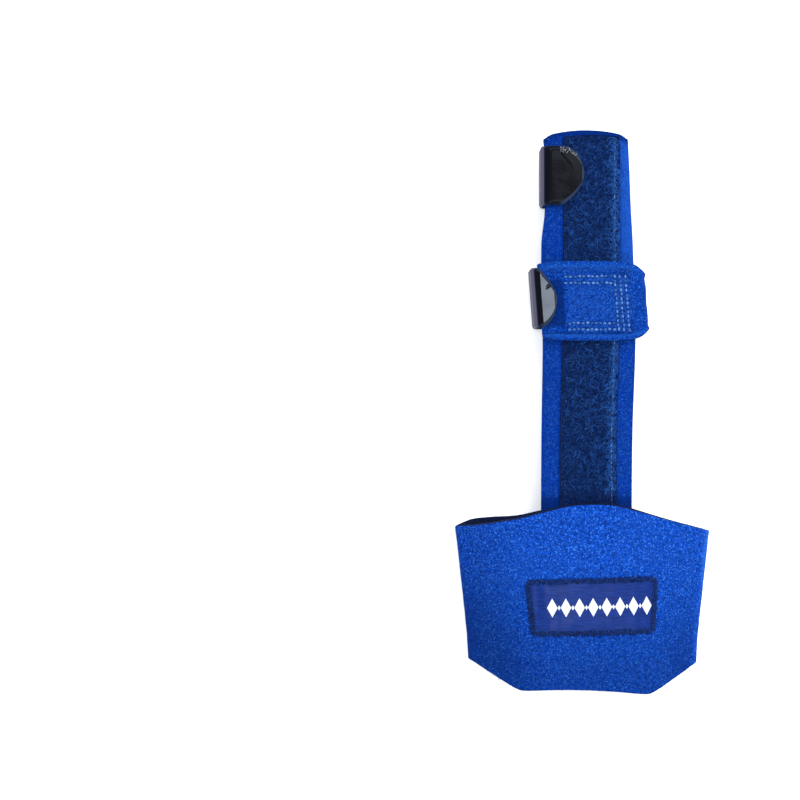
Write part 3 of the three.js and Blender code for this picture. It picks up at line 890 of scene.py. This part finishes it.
def mould_tip_tab(tape):
    """The tip's tab: it stands level over the strip, beside the support's widest place under
    it. A short slanting ridge runs by its upper edge."""
    sides = support_sides(TIP_STRAP_Y + np.array([-0.5, 0, 0.5]) * TAB_WIDTH)[0]
    side_x = -(SUPPORT_OFFSET - sides.min() + SEAT_GAP + TAB_WALL / 2)
    back_z = TIP_STRAP_WALL + SEAT_GAP + TAB_WALL / 2
    front_z = STRIP_TOP + SEAT_GAP + TAB_WALL / 2
    front = straight_run(side_x + TAB_SHOULDER, front_z, side_x + TIP_TAB_FRONT, front_z)
    route = tab_route(side_x + TAB_FOOT + TAB_LAP, back_z, side_x, front_z, front)

    def relief(run, y, x):
        ridge = 0.06 * bell(y - 8.2, -1.1 * (x + 9.3), 0.6)
        ridge = ridge * ease(x, -10.2, -9) * (1 - ease(x, -6.4, -5.2))
        return ridge + 0.04 * unevenness(run, y, 5.0, 62)

    name = "tip_tab_hook_tape"
    return mould_tab(name, route, TIP_TAB_ROUND, TIP_TAB_CUTS, 0, TIP_STRAP_Y, 0, tape, relief)


def catch_lint(lint):
    """A few pale fibres caught on the upper edge of the tip tab, which falls away with the square
    of the way along it."""
    rng = np.random.default_rng(64)
    from_x, edge_y = -8.3, TIP_STRAP_Y + 10.0
    count, steps = LINT_FIBRES, 4
    x = from_x + rng.uniform(0, 1, count) ** 1.3 * 5.2
    y = edge_y - (x - from_x) ** 2 * 0.06 - rng.uniform(0, 1.6, count)
    t = np.linspace(0, 1, steps)[None, :]
    heading = rng.uniform(0, 2 * np.pi, count)[:, None] + rng.normal(0, 1.5, count)[:, None] * t
    x, y = run_lines(x, y, heading, rng.uniform(0.3, 1.2, count))
    top = STRIP_TOP + SEAT_GAP + TAB_WALL
    z = top + 0.05 + rng.uniform(0.05, 0.25, count)[:, None] * np.sin(np.pi * t)
    radius = rng.uniform(0.05, 0.12, (count, 1))
    shade = rng.uniform(0, 1, count)
    return make_fibres("tip_tab_lint", np.stack([x, y, z], -1), radius, lint, shade=shade)


def sew_tip_strap(jersey):
    """The strap at the tip: from its seam under the support, round a tight turn, along the back."""
    sewn_z = SUPPORT_FLOOR - SEAT_GAP - TIP_STRAP_WALL / 2
    floor_z = TIP_STRAP_WALL / 2
    radius = (sewn_z - floor_z) / 2
    side = support_sides(TIP_STRAP_Y)[1] - SUPPORT_OFFSET - SEAT_GAP
    turn_x = side - TIP_STRAP_WALL / 2 - radius
    route = sewn_route(
        straight_run(turn_x - TIP_STRAP_SEWN, sewn_z, turn_x, sewn_z),
        turned_run(turn_x, floor_z + radius, radius, np.pi / 2, -np.pi / 2),
        straight_run(turn_x, floor_z, -turn_x, floor_z),
    )

    def relief(run, y, x):
        from_edge = TIP_STRAP_WIDTH / 2 - np.abs(y)
        bead = 0.2 * bell(from_edge, 1.1, 0.8)
        return bead + 0.1 * unevenness(run, y, 4.0, 43)

    section = slab_section(30, 8)
    half = TIP_STRAP_WIDTH / 2
    points = carry_strap(route, section, half, TIP_STRAP_WALL, 0, SUPPORT_OFFSET, TIP_STRAP_Y, relief)
    return make_piece("tip_strap_neoprene", points, [close_tube(points)], [jersey])


# Fibres that stand up from the jersey

def brush_up(name, x, y, height_at, thread, seed, lift=0.02, lean=0.0, centre=(0.0, 0.0)):
    """Short loose fibres on a skin, one from each place (x, y): a slightly bent line that leaves
    the cloth at one end, lies just over it, and dips back."""
    rng = np.random.default_rng(seed)
    count, steps = len(x), 4
    t = np.linspace(0, 1, steps)[None, :]
    heading = rng.uniform(0, 2 * np.pi, count)[:, None] + rng.normal(0, 1.0, count)[:, None] * t
    x, y = run_lines(x, y, heading, rng.uniform(0.5, 1.5, count))
    z = height_at(x, y) + lift + rng.uniform(0.05, 0.22, count)[:, None] * np.sin(np.pi * t) - 0.05
    paths = np.stack([centre[0] + x + lean * y, centre[1] + y, z], -1)
    radius = rng.uniform(0.035, 0.075, (count, 1))
    return make_fibres(name, paths, radius, thread, shade=rng.uniform(0, 1, count))


def brush_sleeve(thread):
    """Fibres over the sleeve's front, clear of the label."""
    rng = np.random.default_rng(91)
    x = rng.uniform(-41, 41, SLEEVE_FIBRES)
    y = rng.uniform(2, 64, SLEEVE_FIBRES)
    middle_half, label_clear_x, label_clear_y = 43.5, 24.5, 10
    hem, mouth = hem_y(x / middle_half), mouth_y(x / middle_half, 1)
    on_label = np.abs(x - LABEL_OFFSET) < label_clear_x
    on_label &= np.abs(y - LABEL_FROM_HEM) < label_clear_y
    kept = (y > hem + 1.5) & (y < mouth - 1.8) & ~on_label
    kept &= np.abs(x) < 36 + 5 * y / SLEEVE_LENGTH

    def skin(x, y):
        return over_sleeve(x, y, 0)

    return brush_up("palm_sleeve_fuzz", x[kept], y[kept], skin, thread, 92)


def brush_support(thread):
    """Fibres over the two margins of the support that the strip leaves bare."""
    rng = np.random.default_rng(93)
    y = rng.uniform(SLEEVE_LENGTH + 2, TIP_Y - 3.5, SUPPORT_FIBRES)
    left, right = support_sides(y)
    middle = strip_centre(y)
    share = rng.uniform(0, 1, len(y))
    inner_left, inner_right = middle - STRIP_WIDTH / 2, middle + STRIP_WIDTH / 2
    on_left = rng.uniform(0, 1, len(y)) < 0.5
    x = np.where(
        on_left,
        left + 1.2 + share * (inner_left - left - 1.6),
        inner_right + 0.4 + share * (right - inner_right - 1.6),
    )
    return brush_up("finger_support_fuzz", x, y, support_skin, thread, 94)


def brush_band(thread):
    """Fibres over the band's front, round the flap."""
    rng = np.random.default_rng(95)
    x = rng.uniform(BAND_START + 1, BAND_FRONT_HALF + 1.5, BAND_FIBRES)
    y = rng.uniform(-13, 13, BAND_FIBRES)
    on_flap = (y > FLAP_LOW - 0.2) & (y < FLAP_HIGH + 0.2) & (x < BAND_FRONT_HALF)
    kept = (np.abs(y) < band_half_width(x) - 0.6) & ~on_flap

    def skin(x, y):
        return band_front(x) + BAND_WALL / 2

    x, y = x[kept], y[kept]
    return brush_up("finger_band_fuzz", x, y, skin, thread, 96, 0.12, BAND_LEAN, BAND_CENTRE)


def brush_flap(thread):
    """Fibres over the quilted part of the flap."""
    rng = np.random.default_rng(97)
    x = rng.uniform(FLAP_SEWN_FROM, BAND_FRONT_HALF - 0.6, FLAP_FIBRES)
    y = rng.uniform(FLAP_LOW + 0.8, FLAP_HIGH - 0.8, FLAP_FIBRES)
    return brush_up("band_flap_fuzz", x, y, flap_height, thread, 98, 0.02, BAND_LEAN, BAND_CENTRE)


# Nap and seams of the loop strip

def strip_surface(x, y):
    """Height of the strip's top, without its unevenness."""
    return support_top(x, y) + STRIP_SEAT + STRIP_THICKNESS


def curl_lines(offset, y, heading, curl, length, t, inset):
    """Curled lines over the strip, from an offset to its centreline: each turns evenly by twice
    its curl about its heading, and is held an inset inside the strip's edges. t is 0 to 1."""
    bend = heading[:, None] + curl[:, None] * (t - 0.5) * 2
    x, y = run_lines(strip_centre(y) + offset, y, bend, length)
    middle = strip_centre(y)
    reach = STRIP_WIDTH / 2 - inset
    return np.clip(x, middle - reach, middle + reach), y


def raise_nap(loops):
    """The strip's nap: curled loops of fibre at random places, each a bent arc that leaves the
    tape, leans to one side and comes back to it."""
    rng = np.random.default_rng(71)
    count = NAP_LOOPS
    y = rng.uniform(TAIL_Y + 30, TIP_Y - STRIP_TIP_MARGIN - 1.4, count)
    offset = rng.uniform(-1, 1, count) * (STRIP_WIDTH / 2 - 0.9)
    heading = rng.normal(np.pi / 2, 1.1, count)
    length = rng.uniform(0.9, 2.4, count)
    curl = rng.normal(0, 1.6, count)
    t = np.linspace(0, 1, 5)[None, :]
    x, y = curl_lines(offset, y, heading, curl, length, t, 0.3)
    height = rng.uniform(0.1, 0.5, count)[:, None] * np.sin(np.pi * t) ** 0.7
    paths = np.stack([x, y, strip_surface(x, y) - 0.04 + height], -1)
    radius = rng.uniform(0.06, 0.13, (count, 1))
    # Each loop has its own random tone, and a painted shadow darkens the loops just past the sleeve's
    # mouth
    shade = rng.uniform(0, 0.75, count) ** 2 * ease(paths[:, 0, 1], SLEEVE_LENGTH, SLEEVE_LENGTH + 6)
    return make_fibres("loop_strip_nap", paths, radius, loops, shade=shade)


def raise_curls(loops):
    """Longer and paler curls over the nap, crowded into a line near the strip's right edge."""
    rng = np.random.default_rng(73)
    count = NAP_CURLS
    y = rng.uniform(SLEEVE_LENGTH + 1, TIP_Y - STRIP_TIP_MARGIN - 2, count)
    anywhere = rng.uniform(-1, 1, count) * (STRIP_WIDTH / 2 - 1.2)
    near_right = STRIP_WIDTH / 2 - 2.0 + rng.normal(0, 0.55, count)
    at_edge = rng.uniform(0, 1, count) < 0.4
    offset = np.where(at_edge, near_right, anywhere)
    heading = rng.uniform(0, 2 * np.pi, count)
    length = rng.uniform(1.4, 4.0, count)
    curl = rng.normal(0, 2.6, count)
    t = np.linspace(0, 1, 8)[None, :]
    x, y = curl_lines(offset, y, heading, curl, length, t, 0.4)
    y = np.clip(y, SLEEVE_LENGTH + 0.5, TIP_Y - STRIP_TIP_MARGIN - 1)
    height = 0.16 + rng.uniform(0.1, 0.4, count)[:, None] * np.sin(np.pi * t) ** 0.7
    paths = np.stack([x, y, strip_surface(x, y) - 0.1 + height], -1)
    radius = rng.uniform(0.08, 0.17, (count, 1))
    shade = np.where(at_edge, 0.55, 0.2) + 0.6 * rng.uniform(0, 1, count) ** 1.6
    # Painted shadow: the curls come out darker just past the sleeve's mouth
    shade = shade * ease(paths[:, 0, 1], SLEEVE_LENGTH, SLEEVE_LENGTH + 7)
    return make_fibres("loop_strip_curls", paths, radius, loops, shade=shade)


def sew_strip_edges(thread, dark_thread):
    """A line of stitches along each side of the strip: light at the right, dark at the left."""
    pieces = []
    for name, side, finish, gap, sunk in (
        ("loop_strip_right_seam", 1, thread, 1.9, 0.0),
        ("loop_strip_left_seam", -1, dark_thread, 0.5, 0.1),
    ):
        rng = np.random.default_rng(72 + side)
        y = np.arange(TAIL_Y + 30, TIP_Y - STRIP_TIP_MARGIN - 2, 1.9)
        y = y + rng.normal(0, 0.12, len(y))
        x = strip_centre(y) + side * (STRIP_WIDTH / 2 - gap) + rng.normal(0, 0.08, len(y))
        paths = stitch_paths(x, y, np.zeros(len(x)), 1.5, strip_surface, 0.22)
        paths[..., 2] -= sunk
        radius = 0.17 * rng.uniform(0.7, 1.3, (len(x), 1))
        tone = rng.uniform(0, 1, len(x))
        pieces.append(make_fibres(name, paths, radius, finish, sides=5, shade=tone))
    return pieces


# Label

def label_half(v):
    """Half width of the label at a share v of its height from its lower edge."""
    return LABEL_WIDTH / 2 * (LABEL_TAPER + (1 - LABEL_TAPER) * v)


def turn_label(x, y):
    """The place of a point that lies x and y millimetres from the label's middle: the label is
    turned by its small tilt."""
    return LABEL_OFFSET + x - LABEL_TILT * y, LABEL_FROM_HEM + y + LABEL_TILT * x


def label_place(u, v):
    """The point of the label at shares u and v from -1 to 1 of its half width and half height."""
    return turn_label(u * label_half((v + 1) / 2), v * LABEL_HEIGHT / 2)


def panel_height(x, y):
    """Height of the satin panel: puckers that run up it, deepest halfway, and a pull at its sides."""
    up = (y - LABEL_FROM_HEM) / (LABEL_HEIGHT / 2)
    pucker = 0.16 * unevenness(x, y * 0.2, 2.1, 81) + 0.1 * unevenness(x, y * 0.35, 4.5, 82)
    return over_sleeve(x, y, 0.62 + pucker * (1 - 0.5 * up ** 4))


def weave_label(satin):
    """The satin panel: a thin slab between the sleeve's skin and the puckered height."""
    across, bulge, height = slab_section(60, 4)
    u = np.linspace(-1, 1, 150)[:, None]
    edge = 0.01
    x, y = label_place(u * PANEL_ACROSS, across * (PANEL_UP - edge) + bulge * edge)
    x, y = np.broadcast_arrays(x, y)
    z = between(over_sleeve(x, y, 0.1), panel_height(x, y), height)
    return make_piece("label_satin", np.stack([x, y, z], -1), [close_tube(z)], [satin])


def label_edge(count, inset=0.75, round_corner=1.3):
    """Points along the label's outline, clockwise: straight sides between quarter circles, an
    inset inside its four corners. Also the direction out of it, and the length run."""
    corner = np.array([label_place(u, v) for u, v in ((-1, -1), (-1, 1), (1, 1), (1, -1))])
    inner = corner - np.sign(corner - corner.mean(0)) * (inset + round_corner)
    turns = []
    for k in range(4):
        start = np.pi * (1.5 - 0.5 * k)
        angle = np.linspace(start, start - np.pi / 2, 10)
        turns.append(inner[k] + round_corner * np.stack([np.cos(angle), np.sin(angle)], -1))
    outline = np.concatenate(turns + [turns[0][:1]])
    run = np.concatenate([[0], np.cumsum(np.linalg.norm(np.diff(outline, axis=0), axis=1))])
    s = np.linspace(0, run[-1], count, endpoint=False)
    path = np.stack([np.interp(s, run, outline[:, k]) for k in (0, 1)], -1)
    way = np.roll(path, -1, 0) - np.roll(path, 1, 0)
    way /= np.linalg.norm(way, axis=1, keepdims=True)
    return path, np.stack([-way[:, 1], way[:, 0]], -1), s


def overcast_label(thread):
    """The label's border: a low bead of thread wound over its edge. Its section is an ellipse, and
    a sine along the edge gives each turn of the thread its ridge."""
    count, half_width, thread_pitch = 640, 1.05, 0.72
    path, outward, s = label_edge(count)
    turn = np.linspace(0, 2 * np.pi, 18, endpoint=False)
    reach = half_width * np.cos(turn)[None, :]
    ridge = 0.12 * np.sin(2 * np.pi * (s[:, None] + 0.35 * reach) / thread_pitch)
    wander = 0.12 * unevenness(s, 0 * s, 1.7, 84)[:, None]
    place = path[:, None] + outward[:, None] * (reach + wander)[..., None]
    lift = 0.35 + (0.42 + ridge) * np.sin(turn)[None, :]
    points = lay_on_sleeve(place, np.maximum(0.02, lift))
    quads = lay_grid(count, len(turn), wrap_rows=True)
    return make_piece("label_border", points, [quads[:, ::-1]], [thread])


def fray_label(thread):
    """Loose ends of the border's thread, most of them lying outward over the jersey."""
    rng = np.random.default_rng(85)
    count, steps = BORDER_ENDS, 4
    path, outward, _ = label_edge(count)
    t = np.linspace(0, 1, steps)[None, :]
    across = np.stack([-outward[:, 1], outward[:, 0]], -1)
    side = rng.normal(0, 0.7, count)[:, None] * t
    reach = rng.uniform(-0.9, 0.7, count)[:, None] + rng.uniform(0.4, 1.3, count)[:, None] * t
    place = path[:, None] + outward[:, None] * reach[..., None] + across[:, None] * side[..., None]
    over = 0.1 + 0.62 * np.sqrt(np.maximum(0, 1 - (reach / 1.1) ** 2))
    over = over + rng.uniform(0.0, 0.3, count)[:, None] * np.sin(np.pi * t)
    paths = lay_on_sleeve(place, over)
    radius = rng.uniform(0.06, 0.13, (count, 1))
    return make_fibres("label_border_ends", paths, radius, thread, shade=rng.uniform(0, 1, count) ** 2)


def embroider_label(white):
    """A row of woven lozenges: each a low pillow on a diamond, with ridges of thread across it."""
    across, bulge, height = slab_section(15, 4)
    s = np.linspace(-1, 1, 17)[:, None]
    t = across * 0.97 + bulge * 0.03
    pitch, shift, sink = 4.75, 2.3, 0.1
    # Eight large lozenges, and a small one in each gap between two of them
    large = [(k * pitch, 1.85, 3.3) for k in np.arange(-3.5, 4)]
    small = [(k * pitch, 0.55, 0.9) for k in np.arange(-3, 4)]
    lozenges, quads, first = [], [], 0
    for centre, half_x, half_y in large + small:
        x, y = turn_label(shift + centre + (s + t) / 2 * half_x, (s - t) / 2 * half_y - sink)
        swell = np.sqrt(np.maximum(0, (1 - s ** 6) * (1 - t ** 6)))
        thread = 0.05 * np.cos(2 * np.pi * y / 0.45)
        panel = panel_height(x, y)
        z = between(panel - 0.12, panel + (0.16 + thread) * swell, height)
        lozenges.append(np.stack([x, y, z], -1).reshape(-1, 3))
        quads.append(close_tube(z)[:, ::-1] + first)
        first += z.size
    return make_piece("label_lozenges", np.concatenate(lozenges), quads, [white])


# Finishes

def start_finish(name, roughness, **shader_values):
    """A material's nodes and its shader, whose plain numbers are set on its own sockets."""
    material = bpy.data.materials.new(name)
    material.use_nodes = True
    tree = material.node_tree
    shader = tree.nodes["Principled BSDF"]
    shader.inputs["Roughness"].default_value = roughness
    for key, value in shader_values.items():
        shader.inputs[key.replace("_", " ")].default_value = value
    return material, tree, shader


def add_noise(tree, scale, detail=2.0, stretch=None):
    """Noise over the piece's own coordinates, in features a metre, stretched along its axes."""
    noise = tree.nodes.new("ShaderNodeTexNoise")
    noise.inputs["Scale"].default_value = scale
    noise.inputs["Detail"].default_value = detail
    where = tree.nodes.new("ShaderNodeTexCoord").outputs["Object"]
    if stretch is not None:
        mapping = tree.nodes.new("ShaderNodeMapping")
        mapping.inputs["Scale"].default_value = stretch
        tree.links.new(where, mapping.inputs["Vector"])
        where = mapping.outputs["Vector"]
    tree.links.new(where, noise.inputs["Vector"])
    return noise.outputs[0]


def add_shade(tree):
    """The number that a piece gives each of its points."""
    attribute = tree.nodes.new("ShaderNodeAttribute")
    attribute.attribute_name = "shade"
    return attribute.outputs["Fac"]


def ramp(tree, factor, low, high, from_value=0.0, to_value=1.0):
    """A number that goes smoothly from one value to another as the factor passes low to high."""
    node = tree.nodes.new("ShaderNodeMapRange")
    node.interpolation_type = "SMOOTHSTEP"
    for k, value in enumerate((low, high, from_value, to_value)):
        node.inputs[k + 1].default_value = value
    tree.links.new(factor, node.inputs[0])
    return node.outputs[0]


def blend_colours(tree, factor, first, second):
    """The first colour where the factor is 0, and the second where it is 1."""
    node = tree.nodes.new("ShaderNodeMix")
    node.data_type = "RGBA"
    tree.links.new(factor, node.inputs[0])
    for socket, value in ((node.inputs[6], first), (node.inputs[7], second)):
        if isinstance(value, tuple):
            socket.default_value = (*value, 1)
        else:
            tree.links.new(value, socket)
    return node.outputs[2]


def add_bump(tree, shader, height, distance, strength=1.0):
    bump = tree.nodes.new("ShaderNodeBump")
    bump.inputs["Strength"].default_value = strength
    bump.inputs["Distance"].default_value = distance
    tree.links.new(height, bump.inputs["Height"])
    tree.links.new(bump.outputs["Normal"], shader.inputs["Normal"])


def add_heights(tree, first, second, share):
    """The first height and a share of the second."""
    node = tree.nodes.new("ShaderNodeMath")
    node.operation = "MULTIPLY_ADD"
    tree.links.new(second, node.inputs[0])
    node.inputs[1].default_value = share
    tree.links.new(first, node.inputs[2])
    return node.outputs[0]


def dye_jersey(name, dark, plain, light, painted_shade, coarse=1.0):
    """Brushed jersey: a mottled grain about 1 mm across, slow changes of tone, and light specks
    where fibres stand up. Above 0, a piece's shade paints shade on it, toward the painted-shade
    colour; below 0 it paints a highlight, toward the light colour."""
    material, tree, shader = start_finish(
        name, 1.0, Sheen_Weight=0.12, Sheen_Roughness=0.35, Specular_IOR_Level=0.02
    )
    shader.inputs["Sheen Tint"].default_value = (*light, 1)
    grain = add_noise(tree, 1000, 3)
    slow = add_noise(tree, 60, 2)
    speck = add_noise(tree, 1700, 1)
    half = 0.1 / coarse
    colour = blend_colours(tree, ramp(tree, grain, 0.5 - half, 0.5 + half), dark, plain)
    toned = tuple(0.7 * c for c in plain)
    colour = blend_colours(tree, ramp(tree, slow, 0.35, 0.65, 0.5, 0.0), colour, toned)
    colour = blend_colours(tree, ramp(tree, speck, 0.56, 0.7, 0.0, 0.9 * coarse), colour, light)
    shade = add_shade(tree)
    # Painted shade where the piece's shade is above 0, and a painted highlight where it is below 0
    colour = blend_colours(tree, ramp(tree, shade, 0, 1, 0.0, 0.75), colour, painted_shade)
    colour = blend_colours(tree, ramp(tree, shade, 0, -1, 0.0, 0.7), colour, light)
    tree.links.new(colour, shader.inputs["Base Color"])
    add_bump(tree, shader, add_heights(tree, grain, speck, 0.5), 0.0005, 0.7)
    return material


def dye_plain(name, dark, light, roughness, scale, stretch=None, bump=0.0002, **shader_values):
    """A finish with one grain, between two colours."""
    shader_values.setdefault("Specular_IOR_Level", 0.05)
    material, tree, shader = start_finish(name, roughness, **shader_values)
    grain = add_noise(tree, scale, 2, stretch)
    colour = blend_colours(tree, ramp(tree, grain, 0.35, 0.65), dark, light)
    tree.links.new(colour, shader.inputs["Base Color"])
    add_bump(tree, shader, grain, bump, 0.8)
    return material


def spin_thread(name, dark, light, roughness=0.6):
    """Thread or fibre whose tone changes from one strand to the next, by the piece's shade."""
    material, tree, shader = start_finish(name, roughness, Specular_IOR_Level=0.12)
    colour = blend_colours(tree, add_shade(tree), dark, light)
    tree.links.new(colour, shader.inputs["Base Color"])
    add_bump(tree, shader, add_noise(tree, 5200, 1), 0.0001, 0.6)
    return material


def press_hook_tape():
    """The smooth black back of hook tape, with a duller blue-grey rim where the shade is 1, and a
    matt violet-grey bend where it is 2, a painted reflection of the light on the bend."""
    material, tree, shader = start_finish("hook tape, glossy black", 0.09, Specular_IOR_Level=0.055)
    shader.inputs["Specular Tint"].default_value = (0.8, 0.88, 1, 1)
    shade = add_shade(tree)
    rim, bend = ramp(tree, shade, 0, 1), ramp(tree, shade, 1, 2)
    haze = add_noise(tree, 420, 2)
    black, grey, violet = (0.0012, 0.0014, 0.0028), (0.012, 0.02, 0.045), (0.06, 0.056, 0.092)
    colour = blend_colours(tree, rim, black, grey)
    tree.links.new(blend_colours(tree, bend, colour, violet), shader.inputs["Base Color"])
    dull = blend_colours(tree, rim, (0.09, 0.09, 0.09), (0.38, 0.38, 0.38))
    tree.links.new(blend_colours(tree, bend, dull, (0.7, 0.7, 0.7)), shader.inputs["Roughness"])
    add_bump(tree, shader, haze, 0.0001, 0.12)
    return material


def weave_satin():
    """Woven satin: fine ribs across the label, and slow changes of tone."""
    material, tree, shader = start_finish("label satin, navy", 0.36, Specular_IOR_Level=0.07)
    rib = add_noise(tree, 900, 2, (0.25, 2.4, 1.0))
    dark, light = (0.0015, 0.012, 0.09), (0.003, 0.019, 0.135)
    colour = blend_colours(tree, ramp(tree, rib, 0.35, 0.65), dark, light)
    tree.links.new(colour, shader.inputs["Base Color"])
    add_bump(tree, shader, rib, 0.0001, 0.5)
    return material


# The dark blue that the jersey's painted shade turns toward
painted_shade_blue = (0.0008, 0.009, 0.07)
jersey = dye_jersey(
    "sleeve jersey, royal blue",
    dark=(0.0012, 0.019, 0.155),
    plain=(0.0035, 0.043, 0.315),
    light=(0.024, 0.125, 0.52),
    painted_shade=painted_shade_blue,
)
band_jersey = dye_jersey(
    "band jersey, royal blue",
    dark=(0.0008, 0.013, 0.115),
    plain=(0.002, 0.029, 0.225),
    light=(0.012, 0.09, 0.4),
    painted_shade=painted_shade_blue,
)
support_jersey = dye_jersey(
    "support jersey, royal blue",
    dark=(0.0007, 0.015, 0.135),
    plain=(0.001, 0.024, 0.21),
    light=(0.008, 0.06, 0.34),
    painted_shade=painted_shade_blue,
    coarse=0.6,
)
foam = dye_plain("neoprene foam, cut edge", (0.001, 0.003, 0.014), (0.003, 0.009, 0.045), 1.0, 1600)
lining = dye_plain("sleeve lining, dark navy", (0.002, 0.004, 0.014), (0.004, 0.008, 0.03), 1.0, 900)
tape = dye_plain(
    "loop tape, navy", (0.0005, 0.004, 0.024), (0.0015, 0.012, 0.066), 1.0, 1300, bump=0.0004
)
lint = spin_thread("lint, pale", (0.08, 0.09, 0.1), (0.3, 0.32, 0.33), 0.9)
fuzz = spin_thread("jersey fibres, blue", (0.001, 0.024, 0.18), (0.018, 0.11, 0.46), 0.9)
nap = spin_thread("loop nap, navy", (0.0003, 0.007, 0.05), (0.011, 0.068, 0.275), 0.9)
blue_thread = spin_thread("stitching, pale blue", (0.012, 0.055, 0.22), (0.07, 0.17, 0.42), 0.6)
overlock_ends = spin_thread("label thread ends, navy", (0.0005, 0.004, 0.03), (0.005, 0.022, 0.11), 0.8)
strip_thread = spin_thread("strip stitching, light", (0.02, 0.06, 0.17), (0.1, 0.17, 0.32), 0.6)
dark_thread = spin_thread("strip stitching, dark", (0.002, 0.003, 0.006), (0.012, 0.01, 0.01), 0.7)
hook_tape = press_hook_tape()
satin = weave_satin()
overlock = dye_plain(
    "label overcasting, navy", (0.001, 0.007, 0.045), (0.006, 0.026, 0.14), 0.8, 1500, bump=0.0003
)
white = dye_plain(
    "woven motif, white", (0.42, 0.46, 0.56), (0.62, 0.65, 0.7), 0.8, 1800, (0.3, 1.5, 1), bump=0.0001
)


# The splint's pieces

sleeve = settle(cut_sleeve(jersey, foam, lining), "neoprene_jersey", "palm_sleeve")
support = settle(sew_support(support_jersey), "neoprene_jersey", "finger_support")
strip = settle(sew_strip(tape), "loop_tape", "loop_strip")
for brushed in (brush_sleeve, brush_support, brush_band, brush_flap):
    settle(brushed(fuzz), "neoprene_jersey")
settle(raise_nap(nap), "loop_tape")
settle(raise_curls(nap), "loop_tape")
for seam in sew_strip_edges(strip_thread, dark_thread):
    settle(seam, "loop_tape")
settle(sew_band(band_jersey), "neoprene_jersey", "finger_band")
flap = settle(sew_flap(band_jersey), "neoprene_jersey", "band_flap")
settle(sew_flap_stitches(blue_thread), "neoprene_jersey")
settle(mould_band_tab(hook_tape), "hook_tape", "band_hook_tab")
settle(sew_tip_strap(band_jersey), "neoprene_jersey", "tip_strap")
settle(catch_lint(lint), "hook_tape")
settle(mould_tip_tab(hook_tape), "hook_tape", "tip_hook_tab")
panel = settle(weave_label(satin), "satin_label", "label")
settle(overcast_label(overlock), "satin_label")
settle(fray_label(overlock_ends), "satin_label")
settle(embroider_label(white), "satin_label")


# Table, light and camera

def set_table():
    """A pale sheet that reaches past the view on all sides."""
    mesh = bpy.data.meshes.new("table")
    reach = 3.0
    low = -0.0002
    corners = [(-reach, -reach, low), (reach, -reach, low), (reach, reach, low), (-reach, reach, low)]
    mesh.from_pydata(corners, [], [(0, 1, 2, 3)])
    top = bpy.data.objects.new("table", mesh)
    bpy.context.scene.collection.objects.link(top)
    material, _, shader = start_finish("table, white", 0.8, Specular_IOR_Level=0.1)
    shader.inputs["Base Color"].default_value = (0.93, 0.93, 0.93, 1)
    mesh.materials.append(material)


def hang_light(name, place, aim, size, power, colour=(1, 1, 1)):
    """A soft light, size wide and high, at a place in metres, turned to face another."""
    lamp = bpy.data.lights.new(name, "AREA")
    lamp.shape = "RECTANGLE"
    lamp.size, lamp.size_y = size
    lamp.energy = power
    lamp.color = colour
    holder = bpy.data.objects.new(name, lamp)
    holder.location = place
    facing = Vector(aim) - Vector(place)
    holder.rotation_euler = facing.to_track_quat("-Z", "Y").to_euler()
    bpy.context.scene.collection.objects.link(holder)


def set_lights():
    """White light from all round, a broad key from the upper right, and a cool patch of light
    over the left."""
    world = bpy.data.worlds.new("room")
    world.use_nodes = True
    world.node_tree.nodes["Background"].inputs["Color"].default_value = (1, 1, 1, 1)
    world.node_tree.nodes["Background"].inputs["Strength"].default_value = 1.3
    bpy.context.scene.world = world
    cool = (0.9, 0.95, 1.0)
    hang_light("key", (0.5, 0.42, 1.15), (0, 0.02, 0), (1.0, 1.0), 16.5)
    hang_light("over the left", (-0.205, 0.062, 1.6), (-0.205, 0.062, 0), (0.25, 0.17), 10, cool)
    scene = bpy.context.scene
    scene.view_settings.view_transform = "Standard"
    scene.view_settings.look = "None"


def set_camera():
    """Straight down over the middle of the view, 760 mm above the table."""
    view_centre = (-0.06511, 0.0042)
    camera = bpy.data.cameras.new("camera")
    camera.sensor_width = 36
    camera.lens = 95
    camera.clip_start = 0.01
    holder = bpy.data.objects.new("camera", camera)
    holder.location = (*view_centre, 0.76)
    bpy.context.scene.collection.objects.link(holder)
    bpy.context.scene.camera = holder


set_table()
set_lights()
set_camera()
